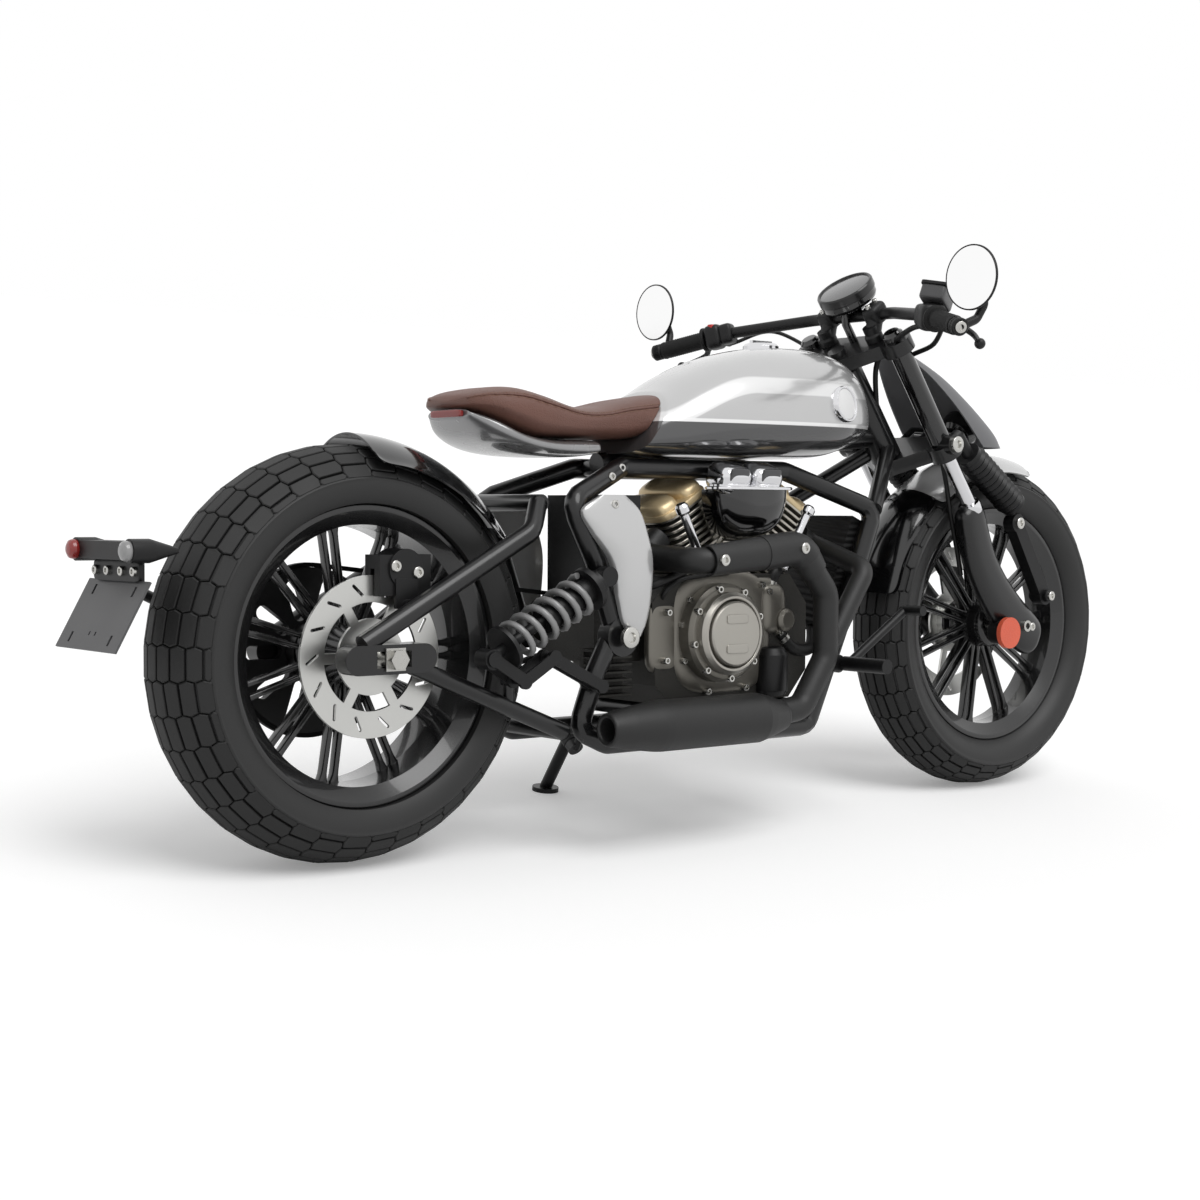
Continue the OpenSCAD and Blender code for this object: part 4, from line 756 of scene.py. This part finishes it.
# Engine side covers. Die-cast aluminium in champagne enamel: a clutch cover with a polished
# raised ring on the right, and the alternator and sprocket covers on the left.
champagne_cover = finish("champagne cover enamel", "#a9a69f", 0.3, metallic=0.75, grain=1.2,
                         bump=0.1, mottle=0.08)
grey_cover = finish("warm grey cover enamel", "#76736c", 0.36, metallic=0.7, grain=1.4,
                    bump=0.15, mottle=0.1)
clutch_at = np.array([672.0, -108.3, 335.0])
clutch_case = bent([(84, -1), (84, 27), (78, 34), (70, 35), (0.5, 35)], 3)
clutch_ring = bent([(70, 33), (70, 46), (63, 52), (59, 52), (57, 47), (55, 35)], 2)
clutch_disc = bent([(55, 35), (55, 54), (52, 57), (20, 58), (0.5, 58)], 2.5)
left_covers = [turned(bent([(84, -1), (84, 24), (80, 27), (68, 27), (66, 41), (62, 43),
                            (30, 45), (0.5, 45)], 2.5), [770, 108.3, 330], [0, 1, 0], 96),
               turned(bent([(62, -1), (62, 27), (58, 30), (20, 31), (0.5, 31)], 2.5),
                      [600, 108.3, 320], [0, 1, 0], 72)]
grey_part = piece("clutch_case", [turned(clutch_case, clutch_at, [0, -1, 0], 96)], grey_cover,
                  "chassis")
champagne_part = piece("clutch_and_side_covers",
                       [turned(clutch_ring, clutch_at, [0, -1, 0], 96),
                        turned(clutch_disc, clutch_at, [0, -1, 0], 96)] + left_covers,
                       champagne_cover, "chassis")
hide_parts("engine_covers")


def soft_box(centre, half, axes=None, power=0.3, rows=28, columns=40):
    """A box with rounded edges: a superellipsoid, whose three terms are the half sizes times
    the products of cosines and sines raised to a small power, on the given three axes."""
    rise = np.linspace(-np.pi / 2 + 0.004, np.pi / 2 - 0.004, rows)[:, None]
    turn = np.linspace(0, 2 * np.pi, columns, endpoint=False)[None]
    ball = np.stack([powered(np.cos(rise), power) * powered(np.cos(turn), power),
                     powered(np.cos(rise), power) * powered(np.sin(turn), power),
                     powered(np.sin(rise), power) + 0 * turn], -1) * np.asarray(half, float)
    if axes is not None:
        ball = ball @ np.asarray(axes, float)
    return sheet_of(ball + np.asarray(centre, float))


raised = [soft_box([672, -166.5, 360], [24, 1.6, 8], power=0.35),
          soft_box([672, -166.5, 310], [24, 1.6, 8], power=0.35)]
panels = piece("clutch_cover_panels", raised, champagne_cover, "chassis")
# Case joints, water pump and the filter below it
case_parts = [soft_box([690, -104, 335], [112, 12, 104], power=0.55),
              soft_box([806, -100, 372], [30, 22, 44], power=0.6),
              turned(bent([(20, 0), (20, 14), (14, 20), (0.5, 20)], 3), [826, -112, 352],
                     [0, -1, 0]),
              soft_box([778, -100, 408], [44, 12, 20], power=0.6),
              soft_box([560, -100, 330], [34, 10, 60], power=0.5)]
case_part = piece("case_joints", case_parts, grey_cover, "chassis")
filter_part = piece("oil_filter", [turned(bent([(26, 0), (30, 8), (30, 70), (24, 82),
                                                (18, 84), (0.5, 84)], 4), [802, -112, 222],
                                          [0, 0, 1])], satin_black, "chassis")

# Coolant hoses and the breather between the cases, the heads and the radiator: moulded black
# rubber laid close to the cases, the three larger runs with a clip at each end.
hose_rubber = finish("black hose rubber", "#0f0f0f", 0.5, grain=0.8, bump=0.2, specular=0.35)
coolant_runs = [([[806, -100, 404], [822, -102, 436], [868, -92, 452], [925, -76, 462],
                  [968, -62, 480]], 11.0),
                ([[826, -104, 330], [862, -108, 300], [912, -100, 300], [944, -72, 338],
                  [950, -52, 360]], 11.0),
                ([[640, -84, 428], [628, -104, 446], [588, -112, 436], [548, -104, 420],
                  [528, -84, 410]], 7.0),
                ([[560, -96, 386], [556, -112, 404], [582, -116, 424], [640, -114, 432],
                  [700, -112, 436]], 4.0)]
hoses = [tube(through(run, 48), radius, 16) for run, radius in coolant_runs]
engine_hoses = piece("engine_hoses", hoses, hose_rubber, "chassis")
clips = []
for run, radius in coolant_runs[:3]:
    line = through(run, 48)
    for at in (4, 43):
        clips.append(turned([(radius, -4), (radius + 1.6, -4), (radius + 1.6, 4), (radius, 4)],
                            line[at], line[at + 1] - line[at], 32))
hose_clips = piece("hose_clips", clips, zinc_steel, "chassis")

# Air cleaner and its two chromed intake domes. The bowl is half of a pressed steel shell in
# gloss black under a polished rim; each dome has a dark ribbed window.
bowl_mid, bowl_top, bowl_half, bowl_deep = 747.0, 577.0, 84.0, 85.0
outline = np.linspace(0, np.pi, 49)
shell_turn = np.linspace(0, np.pi / 2 - 0.03, 26)[:, None]
shrink = np.cos(shell_turn) ** 0.55
bowl_y = -84 - 66 * np.sin(shell_turn) ** 0.85
arc_x = bowl_mid + shrink * bowl_half * powered(np.cos(outline), 0.8)
arc_z = bowl_top - shrink * bowl_deep * powered(np.sin(outline), 0.8)
bowl_grid = np.stack([arc_x, bowl_y + 0 * arc_x, arc_z], -1)
bowl = piece("air_cleaner_bowl", [sheet_of(bowl_grid)], gloss_lacquer, "chassis", sharp=50)
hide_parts("air_cleaner")
rim_turn = np.linspace(0, 2 * np.pi, 64, endpoint=False)
rim_share = np.array([[0.96, 0], [1.0, 0.8], [1.0, 4.6], [0.97, 5.8], [0.4, 6.2]])
rim_grid = np.stack([bowl_mid + rim_share[:, :1] * 88 * powered(np.cos(rim_turn), 0.7),
                     -112 + rim_share[:, :1] * 41 * powered(np.sin(rim_turn), 0.7),
                     bowl_top + rim_share[:, 1:] + 0 * rim_turn], -1)
chrome_parts = [sheet_of(rim_grid)]
window_parts = []
lean_back = np.array([[1, 0, 0], [0, 0.94, 0.34], [0, -0.34, 0.94]])
for dome_x in (697.0, 771.0):
    chrome_parts.append(soft_box([dome_x, -114, 596], [34, 32, 27], lean_back, 0.62, 36, 56))
    chrome_parts.append(turned([(33, 0), (36, 1), (36, 5), (33, 6)], [dome_x, -114, 581],
                               [0, 0, 1]))
    window_parts.append(soft_box([dome_x - 3, -144.5, 601], [21, 3, 12], lean_back, 0.35))
# Pushrod tubes beside the bowl
for foot, head in (([640, -112, 452], [592, -112, 548]), ([830, -112, 446], [893, -112, 545])):
    foot, head = np.array(foot, float), np.array(head, float)
    length = np.linalg.norm(head - foot)
    rod_profile = bent([(9, -8), (11, -6), (11, 2), (8, 4), (8, length - 14),
                        (12, length - 10), (12, length), (8, length + 5), (0.5, length + 6)], 1)
    chrome_parts.append(turned(rod_profile, foot, head - foot, 32))
intake = piece("intake_domes", chrome_parts, chrome, "chassis", sharp=50)
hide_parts("intake_chrome")
window_glass = finish("smoked window glass", "#3a3a3c", 0.12, grain=2.0, bump=0.02, coat=0.6)
windows = piece("intake_windows", window_parts, window_glass, "chassis")

# Exhaust. Bent steel pipes into a low tapered silencer under matt black heat-proof paint,
# with a pressed shield strapped over the upper pipe.
heat_paint = finish("matt black exhaust paint", "#1b1b1b", 0.46, grain=1.4, bump=0.25,
                    mottle=0.18, specular=0.45)
pipe_side = -190.0
rear_run = np.array([[601.8, -45, 496.2], [566, -45, 464], [566, pipe_side, 458],
                     [700, pipe_side, 470], [790, pipe_side, 480], [858, pipe_side, 400],
                     [858, pipe_side, 290], [800, pipe_side, 206], [748, pipe_side, 200]])
front_run = np.array([[934.8, -48, 498.7], [960, -48, 484], [957, pipe_side, 440],
                      [860, pipe_side, 300]])
silencer = bent([(17, 40), (19, 2), (24, 0), (27, 3), (34, 42), (41, 96), (42, 110), (42, 325),
                 (38, 342), (26, 384), (24, 388), (20, 388)], 6, 5)
pipes = piece("exhaust_pipes",
              [tube(bent(rear_run, 40, 14), 22, 32), tube(bent(front_run, 30, 12), 18, 28),
               turned(silencer, [367, pipe_side, 195], [1, 0, 0], 64),
               tube(np.array([[560, -142.3, 168], [560, -150, 168], [560, -162, 170]]), 9, 20)],
              heat_paint, "chassis", sharp=50)
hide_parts("exhaust")
shield_line = bent(np.vstack([rear_run[2] + (rear_run[3] - rear_run[2]) * 0.1, rear_run[3:5],
                              rear_run[4] + (rear_run[5] - rear_run[4]) * 0.5]), 60, 24)
shield_ahead = unit(np.gradient(shield_line, axis=0))
shield_up = np.cross(shield_ahead, [0, -1, 0])
around = np.radians(np.linspace(-98, 98, 33))
both_walls = np.concatenate([around, around[::-1]])[None, :, None]
wall = np.repeat([29.5, 26.6], 33)[None, :, None]
end_in = np.linspace(0, 1, len(shield_line))
taper = (1 - np.clip(1 - np.minimum(end_in, 1 - end_in) / 0.05, 0, 1) ** 2 * 0.12)
shield_grid = shield_line[:, None] + taper[:, None, None] * wall * (
    np.cos(both_walls) * np.array([0, -1, 0]) + np.sin(both_walls) * shield_up[:, None])
shield = piece("exhaust_shield", [sheet_of(shield_grid)], heat_paint, "chassis", sharp=50)
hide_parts("heat_shield")

# Steering head frame of reference: the axes of the fork, up its stem and ahead of it.
rake = math.radians(35.5)
stem_top = np.array([wheelbase - 35 - 500 * math.tan(rake), 0, 820.0])
fork_axes = np.array([[math.cos(rake), 0, math.sin(rake)], [0, 1, 0],
                      [-math.sin(rake), 0, math.cos(rake)]])


def forked(point):
    """A point given ahead of, beside and up the steering stem, in upright millimetres."""
    return stem_top + np.asarray(point, float) @ fork_axes


stem_up = fork_axes[2]

# Fork. Upper tubes in gloss black, hard-chromed sliders below the lower yoke, and cast
# aluminium legs that curve forward to the axle.
leg_table = [[1328, 556, 32], [1344, 500, 36], [1366, 446, 38], [1400, 396, 40],
             [1442, 352, 42], [1484, 318, 42], [1514, 298, 38], [1534, 288, 24]]
fork_side, leg_deep = 105.0, 21.0
leg_rows = through(leg_table, 70)
leg_line = np.stack([leg_rows[:, 0], np.full(70, fork_side), leg_rows[:, 1]], 1)
leg_ahead = unit(np.gradient(leg_line, axis=0))
leg_normal = np.stack([leg_ahead[:, 2], 0 * leg_ahead[:, 0], -leg_ahead[:, 0]], 1)
leg_turn = np.linspace(0, 2 * np.pi, 48, endpoint=False)[None, :, None]
leg_rings = (leg_line[:, None] + leg_normal[:, None] * leg_rows[:, 2, None, None]
             * powered(np.cos(leg_turn), 0.75)
             + np.array([0, leg_deep, 0]) * powered(np.sin(leg_turn), 0.75))
leg_rings = rounded_nose(rounded_nose(leg_rings, 9)[::-1], 5)[::-1]
upper_tube = bent([(0.5, 6), (14, 6), (17, 2), (20, 0), (20, -254), (0.5, -254)], 2)
lugs = [tube(np.array([[1420, 101, 309], [1420, 124, 309], [1420, 128, 309]]), 24, 32)]
legs = piece("fork_leg_castings", mirrored([sheet_of(leg_rings)] + lugs), frame_black,
             "fork", sharp=50)
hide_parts("fork_legs")
tubes = piece("fork_upper_tubes",
              mirrored([turned(upper_tube, forked([45, fork_side, 24]), stem_up, 40)]),
              gloss_lacquer, "fork")
slider = [(14.5, -240), (14.5, -352), (21, -354), (22, -358), (22, -372), (18, -378),
          (0.5, -378)]
sliders = piece("fork_sliders", mirrored([turned(slider, forked([45, fork_side, 0]),
                                                 stem_up, 40)]), chrome, "fork")
link_pins = bent([(0.5, -22), (11, -22), (12, -20), (12, 20), (11, 22), (7, 23), (0.5, 23)], 1)
pins = piece("fork_link_pins", mirrored([turned(link_pins, [1553, fork_side, 377],
                                                [0, 1, 0], 32)]), satin_black, "fork")

# Cowl and headlamp. The cowl is a moulded plastic shield, open to the rear; the lamp is a
# black turned bowl with a clear lens, held by two bars.
cowl_grey = finish("matt grey cowl plastic", "#6c6c6e", 0.5, grain=1.2, bump=0.12)
cowl_table = [[836, 1262, 1226, 40], [800, 1330, 1264, 62], [760, 1386, 1302, 78],
              [720, 1438, 1338, 88], [690, 1474, 1364, 92], [666, 1490, 1388, 92]]
cowl_rows = through(cowl_table, 48)
cowl_turn = np.linspace(-np.pi / 2, np.pi / 2, 49)[None]
height_row, front_row, rear_row, half_row = cowl_rows.T[:, :, None]
walls = []
for wall_in in (0.0, 3.6):
    walls.append(np.stack(np.broadcast_arrays(
        rear_row + (front_row - rear_row - wall_in) * powered(np.cos(cowl_turn), 0.8),
        (half_row - wall_in) * powered(np.sin(cowl_turn), 0.8), height_row), -1))
cowl_grid = np.concatenate([walls[0], walls[1][:, ::-1]], axis=1)
cowl_shell = piece("cowl_shell", [sheet_of(cowl_grid)], cowl_grey, "fork", sharp=50)
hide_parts("cowl")
lamp_tilt = math.radians(52)
lamp_out = [math.sin(lamp_tilt), 0, math.cos(lamp_tilt)]
lamp_at = [1436, 0, 712]
lamp_bars = [tube(np.array([forked([70, s, -230]), forked([112, s, -230]),
                            forked([196, s * 0.75, -292])]), 8, 16) for s in (-24.0, 24.0)]
bowl_profile = bent([(0.5, -46), (18, -44), (32, -32), (38, -14), (38, 10), (37, 13), (34, 14),
                     (33, 10), (0.5, 9)], 3)
lamp_bowl = piece("headlamp_bowl", [turned(bowl_profile, lamp_at, lamp_out)] + lamp_bars,
                  gloss_lacquer, "fork")
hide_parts("headlight")
lens_clear = finish("pale lamp glass", "#d9dcdf", 0.08, metallic=0.3, grain=6.0, bump=0.05,
                    coat=1.0)
lamp_lens = piece("headlamp_lens", [turned([(33, 9.5), (32, 11), (22, 13.2), (10, 14.4),
                                            (0.5, 14.8)], lamp_at, lamp_out)], lens_clear,
                  "fork")

# Handlebar. One bent steel tube in satin black, clamped in two risers on the upper yoke.
bar_half = np.array([[1118, 100, 905], [1036, 250, 885], [973, 376, 854]], float)
bar_points = np.vstack([bar_half[::-1] * [1, -1, 1], bar_half])
risers = []
for side in (-58.0, 58.0):
    risers.append(turned(bent([(17, 0), (17, 12), (14, 16), (14, 30)], 2),
                         forked([46, side, 13.3]), stem_up))
    risers.append(tube(np.array([forked([46, side, 26]), forked([60, side, 40]),
                                 forked([73.5, side, 52])]), [15, 15, 16], 28))
    risers.append(soft_box(forked([73.5, side, 54]), [21, 17, 19], fork_axes, 0.45))
bar = piece("handlebar_tube", [tube(bent(bar_points, 60, 16), 11, 24)] + risers, satin_black,
            "fork", sharp=50)
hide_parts("handlebars")

# Grips, levers, mirrors and switches. The grips are ribbed moulded rubber, the levers forged
# aluminium in satin black with a ball end, the mirrors round glass in thin black rims.
bar_bend, bar_end = bar_half[1], bar_half[2]
grip_way = unit(bar_end - bar_bend)
grip_rubber = finish("moulded grip rubber", "#0d0d0d", 0.6, grain=1.2, bump=0.35, specular=0.3)
ribs = [(16.9 - 0.9 * (k % 2), 10 + 2.2 * k) for k in range(34)]
grip_profile = [(0.5, 48)] + [(22, 48), (23.5, 49.5), (23.5, 53), (22, 54.5), (17, 56)]
grip_profile += [(r, 48 + z) for r, z in ribs] + [(17, 136), (16, 141), (0.5, 141)]
grips = piece("grip_rubbers", mirrored([turned(grip_profile, bar_bend, grip_way, 40)]),
              grip_rubber, "fork", sharp=60)
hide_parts("grips")
pod_up = unit(np.cross(grip_way, [0.9, 0.45, 0]))
pod_axes = np.array([grip_way, np.cross(pod_up, grip_way), pod_up])
perch = bar_bend + grip_way * 30 + [40, 0, -4]
ball = bar_end + grip_way * 4 + [58, 0, -26]
lever_line = through([perch - grip_way * 12, perch + grip_way * 20 + [6, 0, 0],
                      perch + grip_way * 50 + [8, 0, -2], (perch + ball) / 2 + [10, 14, -4],
                      ball], 40)
lever_parts = [soft_box(bar_bend + grip_way * 30, [17, 23, 24], pod_axes, 0.5),
               tube(np.stack([bar_bend + grip_way * 30, bar_bend + grip_way * 30 + [20, 0, -2],
                              perch]), [14, 13, 12], 24),
               tube(lever_line, np.linspace(7.5, 4.6, 40), 14),
               soft_box(ball, [9.5, 9.5, 9.5], power=1.0),
               soft_box(bar_bend + grip_way * 4, [14, 19, 20], pod_axes, 0.5),
               turned(bent([(0.5, -2), (14, -2), (15.5, 0), (15.5, 12), (14, 14), (0.5, 14)],
                           1.5), bar_end, grip_way)]
levers = piece("levers_and_pods", mirrored(lever_parts), satin_black, "fork", sharp=50)
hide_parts("hand_controls")
button_red = finish("red switch plastic", "#c8251c", 0.3, grain=0.8, bump=0.03)
button = piece("stop_switch", [soft_box(bar_bend + grip_way * 30 + [-14, -4, 19],
                                        [6, 7, 5], power=0.5)], button_red, "fork")
pot_at = bar_bend * [1, -1, 1] + grip_way * [1, -1, 1] * 24 + [16, 0, 34]
pot_turn = Matrix.Rotation(math.radians(25), 3, "Z") @ Matrix.Rotation(
    math.radians(20), 3, "Y") @ Matrix.Rotation(math.radians(10), 3, "X")
pot_axes = np.array(pot_turn).T
pot_up = pot_axes[2]
pot_grey = finish("grey reservoir plastic", "#4a4a4b", 0.35, grain=1.0, bump=0.05)
pot = piece("brake_fluid_pot", [soft_box(pot_at, [30, 23, 14], pot_axes, 0.25)], pot_grey,
            "fork")
pot_lid = piece("brake_fluid_lid", [soft_box(pot_at + pot_up * 15, [32, 25, 3.4], pot_axes,
                                             0.2)], satin_black, "fork")
mirror_at = np.array([979.0, 403.0, 933.0])
rim_profile = [(0.5, 1.4), (52.8, 1.6), (53.2, 0.3), (54.2, 0), (55, 1), (55, 4.4),
               (51, 6.8), (30, 8), (14, 8.3), (11, 12), (0.5, 12)]
stalk = bent([bar_end + grip_way * 13, [1004, 393, 866], [1016, 400, 892], [1002, 403, 932],
              [990, 403, 933]], 16, 8)
clamp_profile = bent([(0.5, 0.4), (15, 0.4), (15.5, 2), (15.5, 14), (14, 16), (0.5, 16)], 1.2)
shells = piece("mirror_shells",
               mirrored([turned(rim_profile, mirror_at - [4, 0, 0], [1, 0, 0], 72),
                         tube(stalk, np.linspace(8, 5.5, len(stalk)), 20),
                         turned(clamp_profile, bar_end + grip_way * 0.3, grip_way)]),
               satin_black, "fork", sharp=50)
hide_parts("mirrors")
mirror_glass = finish("silvered mirror glass", "#fafafa", 0.03, metallic=1.0, grain=3.0,
                      bump=0.0, mottle=0.01, edge=0.3)
glass = piece("mirror_glass", mirrored([turned([(52.7, 1.5), (52.5, 0.9), (0.5, 0.8)],
                                               mirror_at - [4, 0, 0], [1, 0, 0], 72)]),
              mirror_glass, "fork")

# Gauge. A black turned cup with a semi-gloss black bezel and a grey cover glass.
gauge_at = forked([84, 0, 76])
cup = piece("gauge_cup", [turned(bent([(0.5, -16), (22, -16), (30, -6), (50, 0), (53, 6),
                                       (53, 20), (0.5, 20)], 4), gauge_at, stem_up, 72),
                          tube(np.array([forked([50, 0, 13.3]), forked([50, 0, 50]),
                                         forked([62, 0, 72])]), 8, 16)],
            gloss_lacquer, "fork")
bezel = piece("gauge_bezel", [turned(bent([(48, 16), (54.6, 16), (55, 18), (55, 31), (53, 34),
                                           (50, 34), (49, 31), (48, 28)], 1), gauge_at,
                                     stem_up, 72)], frame_black, "fork")
gauge_glass = finish("grey gauge glass", "#39393a", 0.16, grain=1.0, bump=0.02, coat=0.8)
face = piece("gauge_face", [turned([(49.5, 24), (49.3, 31), (45, 32), (0.5, 32.4)], gauge_at,
                                   stem_up, 72)], gauge_glass, "fork")
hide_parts("gauge")

# Lamps and reflectors at the rear and on the fork, and the blank plate.
lamp_red = finish("red lamp plastic", "#8a2320", 0.2, grain=1.5, bump=0.05, coat=0.5)
lamp_grey = finish("smoked lamp plastic", "#8d8d8d", 0.2, grain=1.5, bump=0.05, coat=0.5)
reflector_orange = finish("orange reflector plastic", "#db5f43", 0.3, grain=2.5, bump=0.25,
                          cells=True)
plate_grey = finish("grey plate enamel", "#4d4d4e", 0.45, grain=1.0, bump=0.05)
lens_profile = bent([(14, 0), (14.4, 4), (13, 9), (8, 12), (0.5, 13)], 2)
for name, lamp_side, material in (("left_lamp_lens", 84, lamp_red),
                                  ("right_lamp_lens", -84, lamp_grey)):
    lens = piece(name, [turned(lens_profile, [-394.3, lamp_side, 482], [-1, 0, 0])], material,
                 "chassis")
    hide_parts("tail_lamps")
strip = piece("tail_strip", [soft_box([193.5, 0, 692], [4.5, 42, 6], power=0.35)], lamp_red,
              "chassis")
dress(reflector_orange, "reflectors")
dress(plate_grey, "plate")

# Strip of the plate carrier. A folded steel strip in satin black that the lamps' bar and the
# plate's backing are screwed to.
carrier_strip = piece("plate_strip", [soft_box([-369.5, 0, 453], [4, 72, 15], power=0.25)],
                      satin_black, "chassis")

# Fasteners. Zinc-plated cap screws, their heads turned with a socket, seated where the real
# ones hold covers, clamps and calipers.
steel_screw = finish("bright zinc screw steel", "#c6c5c1", 0.25, metallic=1.0, grain=0.8,
                     bump=0.04, edge=0.3)


def screw(place, axis, radius, depth):
    """A cap screw: a drum with chamfered edges and a socket half as wide, turned about its
    axis."""
    return turned([(0.4 * radius, depth * 0.45), (0.5 * radius, depth), (0.86 * radius, depth),
                   (radius, depth * 0.82), (radius, -depth * 0.3), (0.3 * radius, -depth * 0.3)]
                  [::-1], place, axis, 20)


chassis_screws = [([clutch_at[0] + 77 * math.cos(a), -138, clutch_at[2] + 77 * math.sin(a)],
                   [0, -1, 0], 6.5, 9) for a in np.radians([20, 62, 105, 150, 192, 232, 275, 320])]
chassis_screws += [([x, -112, z], [0, -1, 0], 6, 10) for x, z in (
    (608, 392), (592, 350), (596, 290), (650, 236), (738, 238), (775, 414), (560, 372),
    (556, 292), (792, 402), (818, 330))]
chassis_screws += [([x, -217.5, z], [0, -1, 0], 9.5, 6) for x, z in ((592, 461), (776, 479))]
chassis_screws += [([x, s * y, z], [0, s, 0], 7, 7) for s in (-1, 1)
                   for x, y, z in ((450, 97, 596), (486, 79, 611), (413, 150, 551))]
chassis_screws += [([442, s * 157, 337], [0, s, 0], 17, 7) for s in (-1, 1)]
chassis_screws += [([x, -99, z], [0, -1, 0], 9, 7) for x, z in ((30, 456), (70, 446))]
chassis_screws += [([-373.5, y, 453], [-1, 0, 0], 7, 5) for y in (-60, -22, 22, 60)]
chassis_screws += [([770 + 76 * math.cos(a), 134, 330 + 76 * math.sin(a)], [0, 1, 0], 6, 6)
                   for a in np.radians([30, 90, 150, 210, 270, 330])]
screws = piece("chassis_screws", [screw(*row) for row in chassis_screws], steel_screw,
               "chassis")
fork_screws = [([1250, s * 140.5, 667], [0, s, 0], 15, 8) for s in (-1, 1)]
fork_screws += [([1466, s * 118, 520], [0, s, 0], 11, 6) for s in (-1, 1)]
fork_screws += [([1553, s * 128, 377], [0, s, 0], 9, 5) for s in (-1, 1)]
fork_screws += [([1498, s * 125.5, 318], [0, s, 0], 8, 5) for s in (-1, 1)]
fork_screws += [(bar_end * [1, s, 1] + grip_way * [1, s, 1] * 15.5,
                 grip_way * [1, s, 1], 10, 5) for s in (-1, 1)]
fork_screws += [(forked([73.5 + dx, s * 58, 73]), stem_up, 5, 5) for s in (-1, 1)
                for dx in (-11, 11)]
fork_bolts = piece("fork_screws", [screw(*row) for row in fork_screws], steel_screw, "fork")

# Hoses and cables. The brake hose goes from the lever down the right leg to the caliper; the
# control cables loop from the bar into the steering head.
hose = through([pot_at + [22, 6, -10], [1120, -226, 900], [1176, -150, 850],
                forked([70, -70, -60]), forked([74, -62, -200]), [1290, -70, 640],
                [1300, -74, 600], [1312, -76, 540], [1330, -78, 470], [1345, -76, 420]], 90)
clutch_cable = through([perch + [4, 0, -6], [1130, 222, 892], [1180, 130, 840],
                        forked([70, 40, -60]), forked([40, 24, -150]), forked([4, 8, -190])],
                       70)
wires = through([bar_bend * [1, -1, 1] + [10, 4, -16], [1078, -180, 868], [1110, -110, 850],
                 forked([30, -50, -30]), forked([10, -18, -120])], 60)
cables = piece("fork_cables", [tube(hose, 4.6, 12), tube(clutch_cable, 3.6, 12),
                               tube(wires, 5.0, 12)], hose_rubber, "fork")

# Floor and light. A plain white floor, a wide soft sun for the key light and a pale world,
# which shows white to the camera and to gloss.
floor_mesh = bpy.data.meshes.new("floor")
floor_reach = 60.0
corners = [(-floor_reach, -floor_reach, 0), (floor_reach, -floor_reach, 0),
           (floor_reach, floor_reach, 0), (-floor_reach, floor_reach, 0)]
floor_mesh.from_pydata(corners, [], [(0, 1, 2, 3)])
floor = bpy.data.objects.new("floor", floor_mesh)
bpy.context.scene.collection.objects.link(floor)
floor_white = bpy.data.materials.new("white floor")
floor_white.use_nodes = True
floor_tree = floor_white.node_tree
floor_shader = floor_tree.nodes["Principled BSDF"]
floor_shader.inputs["Base Color"].default_value = hex_colour("#f6f6f6")
floor_shader.inputs["Roughness"].default_value = 0.9
floor_shader.inputs["Specular IOR Level"].default_value = 0.1
floor_shader.inputs["Emission Color"].default_value = (1, 1, 1, 1)
floor_seen = add(floor_tree, "ShaderNodeLightPath")
floor_glow = add(floor_tree, "ShaderNodeMath", [(0, floor_seen.outputs["Is Camera Ray"])],
                 operation="MULTIPLY")
floor_glow.inputs[1].default_value = 0.22
floor_tree.links.new(floor_glow.outputs[0], floor_shader.inputs["Emission Strength"])
floor_mesh.materials.append(floor_white)

world = bpy.data.worlds.new("studio")
bpy.context.scene.world = world
world.use_nodes = True
sky = world.node_tree
seen = add(sky, "ShaderNodeLightPath")
either = add(sky, "ShaderNodeMath", [(0, seen.outputs["Is Camera Ray"]),
                                     (1, seen.outputs["Is Glossy Ray"])], operation="MAXIMUM")
through = add(sky, "ShaderNodeMath", [(0, either.outputs[0]),
                                      (1, seen.outputs["Is Transmission Ray"])],
              operation="MAXIMUM")
level = add(sky, "ShaderNodeMapRange", [("Value", through.outputs[0])])
level.inputs["To Min"].default_value = 0.5
level.inputs["To Max"].default_value = 1.0
backdrop = sky.nodes["Background"]
backdrop.inputs["Color"].default_value = (1, 1, 1, 1)
sky.links.new(level.outputs["Result"], backdrop.inputs["Strength"])

sun = bpy.data.lights.new("key", "SUN")
sun.energy = 1.5
sun.angle = math.radians(40)
sun_object = bpy.data.objects.new("key", sun)
sun_object.rotation_euler = (math.radians(28), math.radians(-12), math.radians(20))
bpy.context.scene.collection.objects.link(sun_object)

# Camera. It stands behind and to the right of the motorcycle at hub height, with a long
# lens, and leans with it, because the photograph shows the machine upright.
sensor_width = 36.0
focal_pixels = 1995.5
picture_pixels = 1200.0
view_azimuth = math.radians(50.60)
view_drop = math.radians(2.589)
view_roll = math.radians(0.30)
view_from = np.array([-1627.7, -2601.7, 541.9])
ahead = np.array([math.cos(view_azimuth) * math.cos(view_drop),
                  math.sin(view_azimuth) * math.cos(view_drop), -math.sin(view_drop)])
right = np.cross(ahead, [0, 0, 1])
right /= np.linalg.norm(right)
above = np.cross(right, ahead)
right_rolled = right * math.cos(view_roll) + above * math.sin(view_roll)
above_rolled = -right * math.sin(view_roll) + above * math.cos(view_roll)
axes = upright_turn @ np.stack([right_rolled, above_rolled, -ahead], 1)
camera = bpy.data.cameras.new("camera")
camera.sensor_width = sensor_width
camera.lens = sensor_width * focal_pixels / picture_pixels
camera.clip_end = 200
camera_object = bpy.data.objects.new("camera", camera)
camera_object.matrix_world = Matrix.Translation(Vector(parked(view_from))) @ Matrix(
    axes.tolist()).to_4x4()
bpy.context.scene.collection.objects.link(camera_object)
bpy.context.scene.camera = camera_object
bpy.context.scene.view_settings.view_transform = "Standard"
